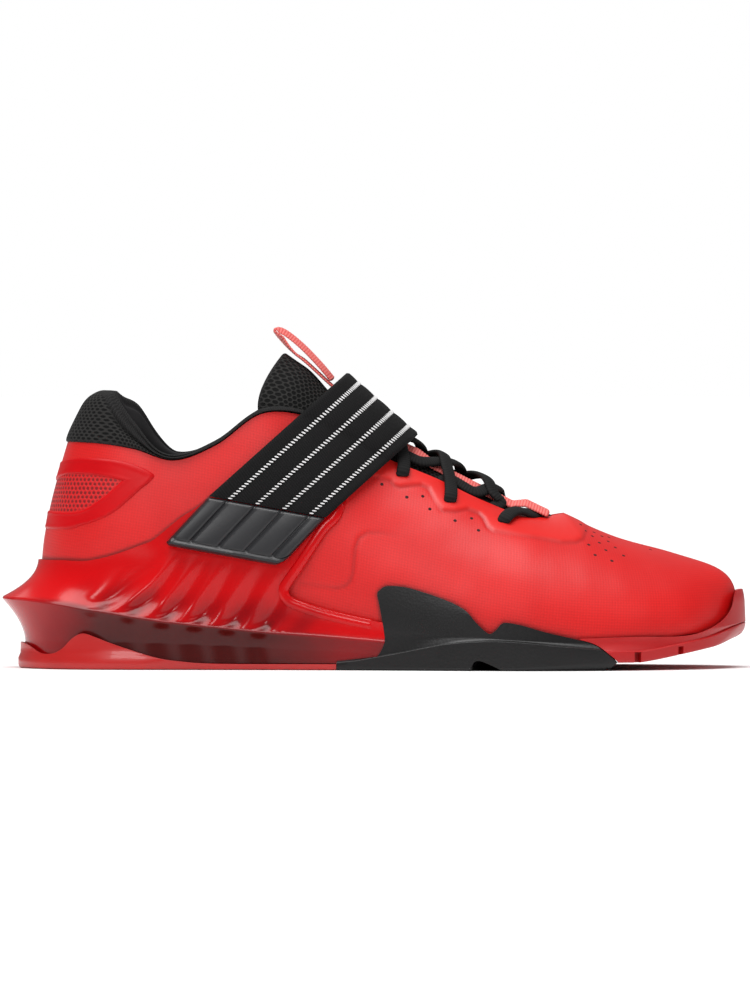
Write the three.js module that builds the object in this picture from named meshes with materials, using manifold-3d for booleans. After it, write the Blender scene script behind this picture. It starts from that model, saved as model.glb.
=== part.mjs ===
// A weightlifting shoe for the right foot, in millimetres.
// The toe points along +X, the lateral side faces -Y and the shoe stands on the plane Z = 0.
// The upper is a hollow wall through sections that run from the feather line, where it meets
// the sole, up to the topline of the collar and throat, or to the ridge of the vamp.
// Every other piece takes its place from that wall.
import * as THREE from "three";
import { mergeVertices } from "three/addons/utils/BufferGeometryUtils.js";
import Module from "manifold-3d";

const wasm = await Module();
wasm.setup();

// Driving sizes of the last and the upper
const upperLength = 286; // back of the heel to the tip of the toe, along the feather line
const ballWidth = 100; // widest part of the upper, at the ball of the foot
const upperHeight = 80; // from the footbed to the highest point of the topline
const upperWall = 2.4;
const fitGap = 0.3; // clearance between two pieces that meet

// Driving sizes of the sole
const heelStack = 29; // height of the footbed at the heel
const forefootStack = 10; // height of the footbed at the ball
const footbedSpring = 7.4; // rise of the footbed from the ball to the tip of the toe
const toeStep = 3.3; // the toe's rubber starts this far above the ground, in front of the black tread
const toeSweep = 9; // rise of the toe's rubber from there to its tip
const heelFin = 16; // reach of the fin behind the heel
const toeRubber = 3.5; // thickness of the bumper in front of the toe
const outsoleThickness = 2.5;
const clipEdge = 1.5; // thickness of the heel clip along its upper edge
const ribDepth = 2.6; // depth of the flutes above the fin
const ribPitch = 13.4; // distance between two flutes
const outriggerReach = 6.5; // how far the black rubber stands out on the lateral side
const medialReach = 4; // the same on the medial side

// Driving sizes of the trims
const collarProud = 0.8; // the collar stands out this far beyond the upper's edge
const strapThickness = 1.6;
const tabThickness = 3.2;
const tabRibHeight = 0.7;
const laceWidth = 5;
const laceThickness = 2.6;
const eyeletRadius = 2.1;
const insoleThickness = 4.2;
const loopWidth = 10;
const webbingWidth = 9;
const webbingThickness = 1.1;
const counterRelief = 0.9; // thickness of the heel counter overlay

// Sections of the upper from the back of the heel to the tip of the toe, one row for each.
// at, topAt: shares of upperLength. side, topSide: shares of ballWidth, lateral side negative.
// top: height of the section over the footbed, as a share of upperHeight.
// bulge, rise: the lower handle of the section's curve, outwards and up.
// shoulder, drop: its upper handle, outwards and down.
const sectionKeys = ["at", "side", "topAt", "topSide", "top", "bulge", "rise", "shoulder", "drop"];
const heelRow = [0, 0, 0.0376, 0, 0.798, 0.02, 0.3, 0.062, 0.3];
const toeRow = [1, 0.06, 0.936, 0.05, 0.338, 0.006, 0.66, 0.17, 0.16];
const lateralRows = [
  heelRow,
  [0.024, -0.175, 0.048, -0.135, 0.798, 0.02, 0.3, 0.06, 0.3],
  [0.073, -0.28, 0.0865, -0.225, 0.79, 0.025, 0.3, 0.055, 0.3],
  [0.132, -0.315, 0.1355, -0.265, 0.7675, 0.03, 0.3, 0.045, 0.28],
  [0.195, -0.325, 0.1914, -0.283, 0.7275, 0.035, 0.3, 0.035, 0.28],
  [0.261, -0.335, 0.2526, -0.288, 0.83, 0.035, 0.3, 0.04, 0.3],
  [0.331, -0.355, 0.3208, -0.275, 1.0225, 0.03, 0.32, 0.07, 0.3],
  [0.408, -0.39, 0.4012, -0.25, 1.019, 0.03, 0.34, 0.1, 0.27],
  [0.492, -0.435, 0.4851, -0.225, 0.885, 0.03, 0.38, 0.12, 0.22],
  [0.573, -0.48, 0.562, -0.205, 0.806, 0.03, 0.42, 0.14, 0.17],
  [0.65, -0.51, 0.632, -0.18, 0.714, 0.028, 0.45, 0.17, 0.13],
  [0.723, -0.515, 0.6984, -0.14, 0.641, 0.025, 0.48, 0.2, 0.09],
  [0.8, -0.48, 0.7509, 0.02, 0.65, 0.022, 0.5, 0.26, 0.1],
  [0.877, -0.405, 0.8208, 0.03, 0.514, 0.018, 0.52, 0.26, 0.11],
  [0.95, -0.255, 0.8872, 0.04, 0.415, 0.012, 0.56, 0.22, 0.14],
  toeRow,
];
const medialRows = [
  heelRow,
  [0.024, 0.175, 0.048, 0.135, 0.8, 0.02, 0.3, 0.06, 0.3],
  [0.073, 0.275, 0.0865, 0.225, 0.8, 0.025, 0.3, 0.055, 0.3],
  [0.132, 0.305, 0.1355, 0.26, 0.785, 0.03, 0.3, 0.045, 0.28],
  [0.195, 0.31, 0.1914, 0.273, 0.736, 0.03, 0.3, 0.035, 0.28],
  [0.261, 0.305, 0.2526, 0.275, 0.824, 0.03, 0.32, 0.04, 0.3],
  [0.331, 0.3, 0.3208, 0.265, 1.0225, 0.03, 0.34, 0.06, 0.3],
  [0.408, 0.31, 0.4012, 0.25, 1.019, 0.03, 0.36, 0.08, 0.27],
  [0.492, 0.35, 0.4851, 0.23, 0.8975, 0.03, 0.4, 0.1, 0.22],
  [0.573, 0.41, 0.562, 0.215, 0.815, 0.03, 0.44, 0.12, 0.17],
  [0.65, 0.465, 0.632, 0.2, 0.724, 0.03, 0.47, 0.15, 0.13],
  [0.727, 0.485, 0.6984, 0.17, 0.6475, 0.025, 0.5, 0.18, 0.09],
  [0.81, 0.46, 0.7509, 0.02, 0.65, 0.022, 0.52, 0.24, 0.1],
  [0.89, 0.4, 0.8208, 0.03, 0.514, 0.018, 0.54, 0.24, 0.11],
  [0.963, 0.285, 0.8872, 0.04, 0.415, 0.012, 0.6, 0.21, 0.14],
  toeRow,
];
const lateral = -1;
const medial = 1;
const lastRow = lateralRows.length - 1;
const throatRow = 12; // from this row on, both sides meet on the ridge of the vamp
const named = (keys) => (row) => Object.fromEntries(keys.map((key, i) => [key, row[i]]));
const rowsOf = {
  [lateral]: lateralRows.map(named(sectionKeys)),
  [medial]: medialRows.map(named(sectionKeys)),
};

// The frame's origin lies under the middle of the shoe
const heelX = (heelFin - upperLength - toeRubber) / 2;
const widestLateral = Math.min(...lateralRows.map((row) => row[1])) * ballWidth - outriggerReach;
const widestMedial = Math.max(...medialRows.map((row) => row[1])) * ballWidth + medialReach;
const axisY = -(widestLateral + widestMedial) / 2;

const clamp = THREE.MathUtils.clamp;
const lerp = THREE.MathUtils.lerp;
const vec = (x, y, z) => new THREE.Vector3(x, y, z);
const alongX = (at) => heelX + at * upperLength;
const shareAt = (x) => (x - heelX) / upperLength;

// Underside of the toe's rubber
const sweepStart = 0.85;
function toeUnderside(at) {
  const share = clamp((at - sweepStart) / (1 - sweepStart), 0, 1);
  return toeStep + toeSweep * share ** 1.15;
}

// Height of the footbed: the heel's lift eases out before the ball, and the toe rises again
const liftStart = 0.06;
const liftEnd = 0.78;
const springStart = 0.68;
function footbedAt(at) {
  const lift = 1 - THREE.MathUtils.smoothstep(at, liftStart, liftEnd);
  const spring = clamp((at - springStart) / (1 - springStart), 0, 1);
  return forefootStack + lift * (heelStack - forefootStack) + footbedSpring * spring * spring;
}

// A height on the side of the shoe: up to -1 lies in the sole, and above 0 on the upper
function levelAt(at, up) {
  const footbed = footbedAt(at);
  return up < 0 ? footbed * (1 + up) : footbed + up * upperHeight;
}

function catmull(a, b, c, d, t) {
  const t2 = t * t;
  const t3 = t2 * t;
  return 0.5 * (2 * b + (c - a) * t + (2 * a - 5 * b + 4 * c - d) * t2 + (3 * b - a - 3 * c + d) * t3);
}

// A section's row; past the heel and the toe the rows run on along the other side
function rowAt(side, index) {
  if (index < 0) return rowsOf[-side][-index];
  if (index > lastRow) return rowsOf[-side][2 * lastRow - index];
  return rowsOf[side][index];
}

// A column of the section table between its rows; the topline and the ridge don't bend each other
function between(side, key, u) {
  const index = Math.min(Math.floor(u), lastRow - 1);
  const value = (i) => rowAt(side, i)[key];
  const topKey = key.startsWith("top");
  let before = value(index - 1);
  let after = value(index + 2);
  if (topKey && index === throatRow) before = 2 * value(index) - value(index + 1);
  if (topKey && index === throatRow - 1) after = 2 * value(index + 1) - value(index);
  return catmull(before, value(index), value(index + 1), after, u - index);
}

function featherAt(side, u) {
  const at = between(side, "at", u);
  return vec(alongX(at), axisY + between(side, "side", u) * ballWidth, footbedAt(at));
}

const smallStep = 0.02;
function acrossEnds(side, u, point) {
  if (u < 0) return point(-side, -u);
  if (u > lastRow) return point(-side, 2 * lastRow - u);
  return point(side, u);
}

// The direction straight out of the feather line, level with the ground
function outwardAt(side, u) {
  const a = acrossEnds(side, u - smallStep, featherAt);
  const b = acrossEnds(side, u + smallStep, featherAt);
  const way = vec(b.x - a.x, b.y - a.y, 0).normalize();
  return vec(-side * way.y, side * way.x, 0);
}

// The four handles of one section's curve, from the feather line to its top
const sectionCache = new Map();
function sectionAt(side, u) {
  const key = side + ":" + u.toFixed(5);
  if (sectionCache.has(key)) return sectionCache.get(key);
  const foot = featherAt(side, u);
  const topZ = foot.z + between(side, "top", u) * upperHeight;
  const topX = alongX(between(side, "topAt", u));
  const head = vec(topX, axisY + between(side, "topSide", u) * ballWidth, topZ);
  const height = topZ - foot.z;
  const low = foot.clone().addScaledVector(outwardAt(side, u), between(side, "bulge", u) * ballWidth);
  low.z += between(side, "rise", u) * height;
  const away = vec(foot.x - head.x, foot.y - head.y, 0).normalize();
  const high = head.clone().addScaledVector(away, between(side, "shoulder", u) * ballWidth);
  high.z -= between(side, "drop", u) * height;
  const section = [foot, low, high, head];
  sectionCache.set(key, section);
  return section;
}

function profile(side, u, h) {
  if (u < 0) return profile(-side, -u, h);
  if (u > lastRow) return profile(-side, 2 * lastRow - u, h);
  const [a, b, c, d] = sectionAt(side, u);
  const k = 1 - h;
  return vec(0, 0, 0)
    .addScaledVector(a, k * k * k)
    .addScaledVector(b, 3 * k * k * h)
    .addScaledVector(c, 3 * k * h * h)
    .addScaledVector(d, h * h * h);
}

function sideNormal(side, u, h) {
  const low = clamp(h - smallStep, 0, 1 - smallStep);
  const high = clamp(h + smallStep, smallStep, 1);
  const along = profile(side, u + smallStep, h).sub(profile(side, u - smallStep, h));
  const up = profile(side, u, high).sub(profile(side, u, low));
  return side === lateral ? along.cross(up).normalize() : up.cross(along).normalize();
}

function normalAt(side, u, h) {
  const onRidge = h === 1 && u >= throatRow;
  const normal = sideNormal(side, u, h);
  return onRidge ? normal.add(sideNormal(-side, u, h)).normalize() : normal;
}

// A point of the upper's outer face, moved out of it by an offset
function skin(side, u, h, offset = 0) {
  return profile(side, u, h).addScaledVector(normalAt(side, u, h), offset);
}

// Where a section reaches a height, by halving
function heightShare(side, u, z) {
  let low = 0;
  let high = 1;
  for (let i = 0; i < 24; i += 1) {
    const middle = (low + high) / 2;
    if (profile(side, u, middle).z < z) low = middle;
    else high = middle;
  }
  return (low + high) / 2;
}

// A point level with z, outside the upper by a distance level with the ground
function wallPoint(side, u, z, out) {
  const foot = featherAt(side, u);
  const base = z <= foot.z ? foot : profile(side, u, heightShare(side, u, z));
  const point = base.clone().addScaledVector(outwardAt(side, u), out);
  point.z = z;
  return point;
}

// The section and height share of the upper's side at a place in side view
function findOnSide(side, x, z) {
  let u = lastRow / 2;
  let h = 0;
  for (let i = 0; i < 12; i += 1) {
    h = heightShare(side, u, z);
    const here = profile(side, u, h).x;
    const slope = (profile(side, u + smallStep, h).x - here) / smallStep;
    u = clamp(u + (x - here) / slope, 0.5, throatRow);
  }
  return { u, h };
}

// Solids are made from a geometry's points and triangles
function solidOf(geometry) {
  const bare = geometry.index ? geometry.toNonIndexed() : geometry.clone();
  bare.deleteAttribute("normal");
  bare.deleteAttribute("uv");
  const merged = mergeVertices(bare, 1e-3);
  const all = merged.index.array;
  const kept = [];
  for (let i = 0; i < all.length; i += 3) {
    const [a, b, c] = [all[i], all[i + 1], all[i + 2]];
    if (a !== b && b !== c && a !== c) kept.push(a, b, c);
  }
  return new wasm.Manifold(
    new wasm.Mesh({
      numProp: 3,
      vertProperties: new Float32Array(merged.attributes.position.array),
      triVerts: new Uint32Array(kept),
    }),
  );
}

function geometryOf(points, faces) {
  const position = new Float32Array(faces.flat().flatMap((i) => points[i].toArray()));
  return new THREE.BufferGeometry().setAttribute("position", new THREE.BufferAttribute(position, 3));
}

// Triangles that close a flat outline of points; an outline folded onto itself needs none
function capFaces(outline) {
  if (outline.every((p, i) => p.distanceTo(outline[outline.length - 1 - i]) < 1e-3)) return [];
  const normal = vec(0, 0, 0);
  outline.forEach((p, i) => {
    const q = outline[(i + 1) % outline.length];
    normal.add(vec((p.y - q.y) * (p.z + q.z), (p.z - q.z) * (p.x + q.x), (p.x - q.x) * (p.y + q.y)));
  });
  normal.normalize();
  const across = Math.abs(normal.x) < 0.8 ? vec(1, 0, 0) : vec(0, 1, 0);
  const e1 = across.addScaledVector(normal, -across.dot(normal)).normalize();
  const e2 = normal.clone().cross(e1);
  const flat = outline.map((p) => new THREE.Vector2(p.dot(e1), p.dot(e2)));
  return THREE.ShapeUtils.triangulateShape(flat, []);
}

// The same for an outline whose second half faces its first half, point by point
function stripFaces(outline) {
  const last = outline.length - 1;
  const faces = [];
  for (let i = 0; i + 1 < outline.length / 2; i += 1) {
    faces.push([i, i + 1, last - i - 1], [i, last - i - 1, last - i]);
  }
  return faces;
}

// A closed body through sections that all have the same number of points
function loft(sections, endFaces = capFaces) {
  const count = sections[0].length;
  const points = sections.flat();
  const faces = [];
  for (let i = 0; i + 1 < sections.length; i += 1) {
    const here = i * count;
    const next = here + count;
    for (let j = 0; j < count; j += 1) {
      const k = (j + 1) % count;
      faces.push([here + j, next + j, next + k], [here + j, next + k, here + k]);
    }
  }
  const last = points.length - count;
  faces.push(...endFaces(sections[0]));
  faces.push(...endFaces(sections.at(-1)).map((face) => face.map((i) => i + last).reverse()));
  const solid = solidOf(geometryOf(points, faces));
  return solid.volume() < 0 ? solidOf(geometryOf(points, faces.map((face) => face.slice().reverse()))) : solid;
}

// A wall between an outer and an inner copy of one open sheet of points
function thicken(outer, inner, faces) {
  const count = outer.length;
  const all = faces.flatMap((face) => [face, face.map((i) => i + count).reverse()]);
  const used = new Set();
  const edges = faces.flatMap(([a, b, c]) => [
    [a, b],
    [b, c],
    [c, a],
  ]);
  edges.forEach(([a, b]) => used.add(a + "," + b));
  for (const [a, b] of edges) {
    if (!used.has(b + "," + a)) all.push([b, a, a + count], [b, a + count, b + count]);
  }
  return solidOf(geometryOf([...outer, ...inner], all));
}

// The upper's sheet from one side's feather line over to the other's, open at collar and throat
const upperSteps = 3; // stations between two rows
const upperLevels = 6;
function upperShell(outerOffset, innerOffset, rimGrowth = 0) {
  const half = lastRow * upperSteps;
  const loop = 2 * half;
  const place = (s) => (s <= half ? [lateral, s / upperSteps] : [medial, (loop - s) / upperSteps]);
  const ids = new Map();
  const outer = [];
  const inner = [];
  const idOf = (station, j) => {
    const s = station % loop;
    const [side, u] = place(s);
    const shared = j === upperLevels && side === medial && u >= throatRow;
    const key = (shared ? loop - s : s) + ":" + j;
    if (!ids.has(key)) {
      ids.set(key, outer.length);
      const raised = j === upperLevels && u < throatRow ? 1 + rimGrowth : j / upperLevels;
      outer.push(skin(side, u, raised, outerOffset));
      inner.push(skin(side, u, raised, innerOffset));
    }
    return ids.get(key);
  };
  const faces = [];
  for (let s = 0; s < loop; s += 1) {
    for (let j = 0; j < upperLevels; j += 1) {
      const [a, b] = [idOf(s, j), idOf(s + 1, j)];
      const [c, d] = [idOf(s + 1, j + 1), idOf(s, j + 1)];
      faces.push([a, b, c], [a, c, d]);
    }
  }
  return thicken(outer, inner, faces.filter((face) => new Set(face).size === 3));
}

// The whole last as a filled body, grown by an offset, for cutting the pieces round it
function lastBody(offset) {
  const sections = [];
  for (let s = 0; s <= lastRow * upperSteps; s += 1) {
    const u = s / upperSteps;
    const column = (side) =>
      Array.from({ length: upperLevels + 1 }, (_, j) => {
        const point = skin(side, u, j / upperLevels, offset);
        if (j === 0) point.z -= offset;
        return point;
      });
    sections.push([...column(lateral), ...column(medial).reverse()]);
  }
  return loft(sections);
}

// A block through the whole shoe with an outline drawn in side view
function sideBlock(outline, yLow = -ballWidth, yHigh = ballWidth) {
  const shape = new THREE.Shape(outline.map(([x, z]) => new THREE.Vector2(x, z)));
  const geometry = new THREE.ExtrudeGeometry(shape, { depth: yHigh - yLow, bevelEnabled: false });
  geometry.rotateX(Math.PI / 2).translate(0, yHigh, 0);
  return solidOf(geometry);
}

const onSide = (rows) => rows.map(([at, up]) => [alongX(at), levelAt(at, up)]);

function smoothOutline(points, perSpan) {
  const curve = new THREE.SplineCurve(points.map(([x, z]) => new THREE.Vector2(x, z)));
  return curve.getPoints((points.length - 1) * perSpan).map((p) => [p.x, p.y]);
}

// The heel clip: midsole, fin and wing in one
// ridge: height of the fin as a share of the footbed's. edge: the clip's upper edge over the
// footbed as a share of upperHeight. fin, waist, base: reach outside the feather line, in mm
// but for the fin, which is a share of heelFin.
const clipKeys = ["at", "ridge", "fin", "waist", "base", "edge"];
const clipRows = [
  [0, 0.99, 1, 7, 9.8, 0.194],
  [0.03, 0.95, 0.8, 6, 9, 0.194],
  [0.08, 0.84, 0.62, 4.5, 8, 0.2],
  [0.16, 0.73, 0.53, 4, 7, 0.3],
  [0.24, 0.68, 0.44, 3.5, 6, 0.5],
  [0.32, 0.66, 0.37, 3, 5.5, 0.76],
  [0.38, 0.68, 0.31, 3, 5, 0.84],
  [0.46, 0.7, 0.25, 2.8, 4.5, 0.8],
  [0.56, 0.7, 0.22, 2.8, 4.5, 0.72],
].map(named(clipKeys));

// A column of a table at a place along the shoe
function tableAt(rows, key, at) {
  let i = 0;
  while (i < rows.length - 2 && at > rows[i + 1].at) i += 1;
  const [a, b] = [rows[i], rows[i + 1]];
  const t = clamp((at - a.at) / (b.at - a.at), 0, 1);
  const before = rows[Math.max(i - 1, 0)];
  const after = rows[Math.min(i + 2, rows.length - 1)];
  return catmull(before[key], a[key], b[key], after[key], t);
}

// A column of a table between two of its rows, counted from 0
function rowShare(rows, key, s) {
  const i = clamp(Math.floor(s), 0, rows.length - 2);
  const value = (k) => rows[clamp(k, 0, rows.length - 1)][key];
  return catmull(value(i - 1), value(i), value(i + 1), value(i + 2), s - i);
}

const ribFirst = 0.0825; // place of the first flute, as a share of upperLength
const ribCount = 6;
const ribLean = 0.9; // how far a flute runs forwards for its rise
const ribRise = 0.33; // height over the fin where the flutes fade out, as a share of upperHeight
const ribMouth = 3.5; // the flutes reach their depth this far from the fin

// Run along the clip, from the first flute, of a place on its fin
const ribRun = (x) => x - alongX(ribFirst);

// How deep a flute cuts, over or under the fin
function fluteAt(run, over, ridge) {
  const inside = THREE.MathUtils.smoothstep(run, -0.8 * ribPitch, 0);
  const end = 1 - THREE.MathUtils.smoothstep(run, (ribCount - 1) * ribPitch, (ribCount - 0.2) * ribPitch);
  const wave = 0.5 + 0.5 * Math.cos((2 * Math.PI * run) / ribPitch);
  const near = clamp(Math.abs(over) / ribMouth, 0, 1);
  const reach = over > 0 ? ribRise * upperHeight : 1.2 * ridge;
  const fade = clamp(1 - Math.abs(over) / reach, 0, 1);
  return ribDepth * wave * inside * end * near * fade;
}

// The flutes lean forwards: the row a height over the fin belongs to, on a column of the clip
function leaning(side, u, over) {
  const run = ribRun(featherAt(side, u).x);
  const start = THREE.MathUtils.smoothstep(run, -1.2 * ribPitch, 0.5 * ribPitch);
  const end = 1 - THREE.MathUtils.smoothstep(run, (ribCount - 1) * ribPitch, (ribCount + 1.5) * ribPitch);
  const reach = clamp(over, -0.3 * heelStack, ribRise * upperHeight);
  const perRow = (featherAt(side, u + 0.5).x - featherAt(side, Math.max(u - 0.5, 0)).x) / Math.min(1, u + 0.5);
  return u + (ribLean * reach * start * end) / Math.max(perRow, 1);
}

const clipFloor = outsoleThickness + fitGap;
const waistShare = 0.38; // height of the clip's waist as a share of the footbed's
const finEdge = 0.7; // half the thickness of the fin's edge
const curlUp = 2.2; // how sharply the clip falls away from the fin, above it
const curlDown = 1.8; // and below it
const aboveFin = [0.1, 0.24, 0.42, 0.66, 1]; // levels between the fin and the clip's edge
const belowFin = [0.7, 0.35]; // levels between the waist and the fin

// One line of points up the clip's outer face
function clipColumn(side, u, grow) {
  const x = featherAt(side, u).x;
  const spot = (over) => {
    const row = leaning(side, u, over);
    const at = shareAt(featherAt(side, row).x);
    return { row, at, get: (key) => tableAt(clipRows, key, at) };
  };
  const fin = spot(0);
  const ridge = fin.get("ridge") * footbedAt(fin.at);
  const waist = fin.get("waist");
  const waistZ = Math.max(waistShare * footbedAt(fin.at), clipFloor + 1);
  const points = [];
  const add = (row, z, out) => points.push(wallPoint(side, row, z, out + grow));
  const cut = (over) => fluteAt(ribRun(x), over, ridge);
  add(fin.row, clipFloor - grow, waist);
  for (const share of [1, ...belowFin]) {
    const z = lerp(ridge - finEdge, waistZ, share);
    const here = spot(z - ridge);
    const reach = here.get("fin") * heelFin - waist;
    add(here.row, z, waist + reach * (1 - share) ** curlDown - cut(z - ridge));
  }
  add(fin.row, ridge - finEdge - grow, fin.get("fin") * heelFin);
  add(fin.row, ridge + finEdge + grow, fin.get("fin") * heelFin);
  for (const share of aboveFin) {
    const lean = spot(lerp(finEdge, ribRise * upperHeight * 1.5, share));
    const top = levelAt(lean.at, lean.get("edge"));
    const z = lerp(ridge + finEdge, top, share);
    const reach = lean.get("fin") * heelFin - clipEdge;
    add(lean.row, z + (share === 1 ? grow : 0), clipEdge + reach * (1 - share) ** curlUp - cut(z - ridge));
  }
  return points;
}

// Filled body between the lateral and the medial side's columns
function bodyBetween(stations, column) {
  return loft(stations.map((u) => [...column(lateral, u), ...column(medial, u).reverse()]));
}

// Places along the rows, with a number of steps a row
function stationsBetween(from, to, steps) {
  const count = Math.round((to - from) * steps);
  return Array.from({ length: count + 1 }, (_, i) => lerp(from, to, i / count));
}

// The window in front of the clip's wing, where the upper shows, in side view
const windowRows = [
  [0.46, 1.2],
  [0.437, 0.62],
  [0.408, 0.45],
  [0.38, 0.28],
  [0.361, 0.17],
  [0.356, 0.13],
  [0.361, 0.098],
  [0.377, 0.08],
  [0.409, 0.058],
  [0.452, 0.042],
  [0.494, 0.035],
  [0.6, 0.03],
];
const clipFront = 0.4905; // the front end of the clip

const ribSteps = 5; // stations a row where the flutes are
function clipBody(grow) {
  const stations = [
    ...stationsBetween(0, 2, 4),
    ...stationsBetween(2, 7.5, ribSteps).slice(1),
    ...stationsBetween(7.5, 9, 2).slice(1),
  ];
  const body = bodyBetween(stations, (side, u) => clipColumn(side, u, grow));
  const window = onSide(windowRows);
  const high = levelAt(0.5, 1.6);
  const lift = grow / 2;
  const outline = [...window, [alongX(0.62), high], [window[0][0], high]];
  const cut = sideBlock(outline.map(([x, z]) => [x + lift, z + lift]));
  return body.subtract(cut).intersect(slabBetween(-upperLength, alongX(clipFront) + grow));
}

// Everything between two places along the shoe
function slabBetween(xLow, xHigh) {
  const low = -heelStack;
  const high = 3 * upperHeight;
  return sideBlock([
    [xLow, low],
    [xHigh, low],
    [xHigh, high],
    [xLow, high],
  ]);
}

// Heel outsole: a slab under the clip whose rim climbs the clip's side in a hump, in side view
const heelRimRows = [
  [-0.04, -0.62],
  [-0.02, -0.66],
  [0, -0.775],
  [0.018, -0.775],
  [0.032, -0.7],
  [0.046, -0.56],
  [0.061, -0.49],
  [0.079, -0.54],
  [0.108, -0.645],
  [0.162, -0.81],
  [0.2, -0.87],
  [0.256, -0.9],
  [0.4225, -0.87],
];
const rimThickness = 1.6;
const blackStart = 0.4245; // the black tread starts here

function heelTreadColumn(side, u) {
  const at = shareAt(featherAt(side, u).x);
  const waist = tableAt(clipRows, "waist", at);
  const base = tableAt(clipRows, "base", at);
  return [
    [0, base - 1.2],
    [1.6, base],
    [4.2, base],
    [8.5, waist + rimThickness + 0.3],
    [17, waist + rimThickness],
  ].map(([z, out]) => wallPoint(side, u, z, out));
}

// The black tread and the toe's rubber
// lateral, medial: reach at the base. footbed, top: reach at the footbed and on the upper.
const treadKeys = ["at", "lateral", "medial", "footbed", "top"];
const treadRows = [
  [0.38, 4.6, 4, 3.6, 2.6],
  [0.49, 4.9, 4, 3.6, 2.6],
  [0.6, 5.8, 4.1, 3.7, 2.6],
  [0.7, outriggerReach, medialReach, 3.8, 2.6],
  [0.8, outriggerReach, medialReach, 3.9, 2.6],
  [0.9, 5, 4, 3.9, 2.6],
  [0.97, 4, 3.8, 3.8, 2.9],
  [1, toeRubber, toeRubber, toeRubber, 3.2],
].map(named(treadKeys));

function treadColumn(side, u, undersideAt) {
  const at = shareAt(featherAt(side, u).x);
  const get = (key) => tableAt(treadRows, key, at);
  const base = get(side === lateral ? "lateral" : "medial");
  const low = undersideAt(at);
  const bed = footbedAt(at);
  return [
    [low, base - 1.6],
    [low + 1.5, base],
    [lerp(low, bed, 0.6), lerp(base, get("footbed"), 0.4)],
    [bed + 1.5, get("footbed")],
    [bed + 10, lerp(get("footbed"), get("top"), 0.6)],
    [bed + 26, get("top")],
  ].map(([z, out]) => wallPoint(side, u, z, out));
}

// Upper edge of the black tread with the wrap that climbs the upper's side, in side view
const wrapRows = [
  [0.424, -0.81],
  [0.474, -0.69],
  [0.482, -0.66],
  [0.4915, -0.36],
  [0.4915, -0.04],
  [0.4855, 0.11],
  [0.482, 0.175],
  [0.4855, 0.197],
  [0.495, 0.222],
  [0.5215, 0.23],
  [0.557, 0.209],
  [0.588, 0.18],
  [0.608, 0.146],
  [0.6225, 0.092],
  [0.637, 0.048],
  [0.644, 0.043],
  [0.651, 0.062],
  [0.662, 0.102],
  [0.687, 0.096],
  [0.722, 0.065],
  [0.765, 0.028],
  [0.793, -0.06],
  [0.815, -0.5],
  [0.824, -0.7],
];
const blackNose = [
  [0.816, -0.87],
  [0.806, -0.95],
  [0.785, -1],
];
const flexNotch = [
  [0.6155, -1],
  [0.6225, -0.62],
  [0.637, -0.58],
  [0.6655, -1],
];

// Upper edge of the toe's rubber, in side view
const toeEdgeRows = [
  [1.02, 0.23],
  [0.998, 0.21],
  [0.991, 0.11],
  [0.983, 0.062],
  [0.967, 0.024],
  [0.94, -0.01],
  [0.905, -0.005],
  [0.85, 0.02],
  [0.77, 0.03],
];

// Stations of the tongue from its hidden front end to its top
// at, top: its middle line. half: half its width, drop: fall of its edges, both in mm.
const tongueKeys = ["at", "top", "half", "drop", "thick"];
const tongueRows = [
  [0.786, 0.52, 17, 9, 2.6],
  [0.723, 0.63, 19.5, 12.5, 3],
  [0.653, 0.742, 23, 18.5, 3.4],
  [0.576, 0.855, 25.5, 20.5, 4],
  [0.499, 0.982, 26, 22, 4.2],
  [0.429, 1.13, 24, 22, 4.6],
  [0.38, 1.25, 22, 25, 5],
  [0.3455, 1.321, 20.5, 31.5, 4.2],
].map(named(tongueKeys));
const tongueArc = 1.22; // half the angle of the tongue's arch
const tongueCorner = 0.75; // how far its top corners are rounded back, in stations
const tongueEnd = tongueRows.length - 1;

function tongueMiddle(s) {
  const at = rowShare(tongueRows, "at", s);
  return vec(alongX(at), axisY, levelAt(at, rowShare(tongueRows, "top", s)));
}

// A point of the tongue's outer face: across runs from -1, lateral, to 1, medial
function tongueFace(s, across) {
  const angle = across * tongueArc;
  const ahead = tongueMiddle(s + smallStep).sub(tongueMiddle(s - smallStep)).normalize();
  const normal = vec(ahead.z, 0, -ahead.x);
  if (normal.z < 0) normal.negate();
  const fall = (rowShare(tongueRows, "drop", s) * (1 - Math.cos(angle))) / (1 - Math.cos(tongueArc));
  const point = tongueMiddle(s).addScaledVector(normal, -fall);
  point.y += (rowShare(tongueRows, "half", s) * Math.sin(angle)) / Math.sin(tongueArc);
  return point;
}

function tongueNormal(s, across) {
  const along = tongueFace(s + smallStep, across).sub(tongueFace(s - smallStep, across));
  const over = tongueFace(s, across + smallStep).sub(tongueFace(s, across - smallStep));
  return over.cross(along).normalize();
}

function tonguePoint(s, across, lift) {
  return tongueFace(s, across).addScaledVector(tongueNormal(s, across), lift);
}

function tongueBody() {
  const steps = 9;
  const stations = [...stationsBetween(0, tongueEnd, 2), tongueEnd + 0.12];
  return loft(
    stations.map((s) => {
      const inside = Math.min(s, tongueEnd);
      const round = s > tongueEnd ? 0.45 : 1;
      const thick = rowShare(tongueRows, "thick", inside) * round;
      const sink = s > tongueEnd ? 1.2 : 0;
      const outer = [];
      const inner = [];
      for (let j = 0; j <= steps; j += 1) {
        const across = (2 * j) / steps - 1;
        const taper = 1 - 0.45 * across ** 4;
        const station = s - tongueCorner * (s / tongueEnd) ** 5 * across ** 4;
        outer.push(tonguePoint(station, across, -sink));
        inner.push(tonguePoint(station, across * 0.97, -sink - thick * taper));
      }
      return [...outer, ...inner.reverse()];
    }),
  );
}

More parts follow.
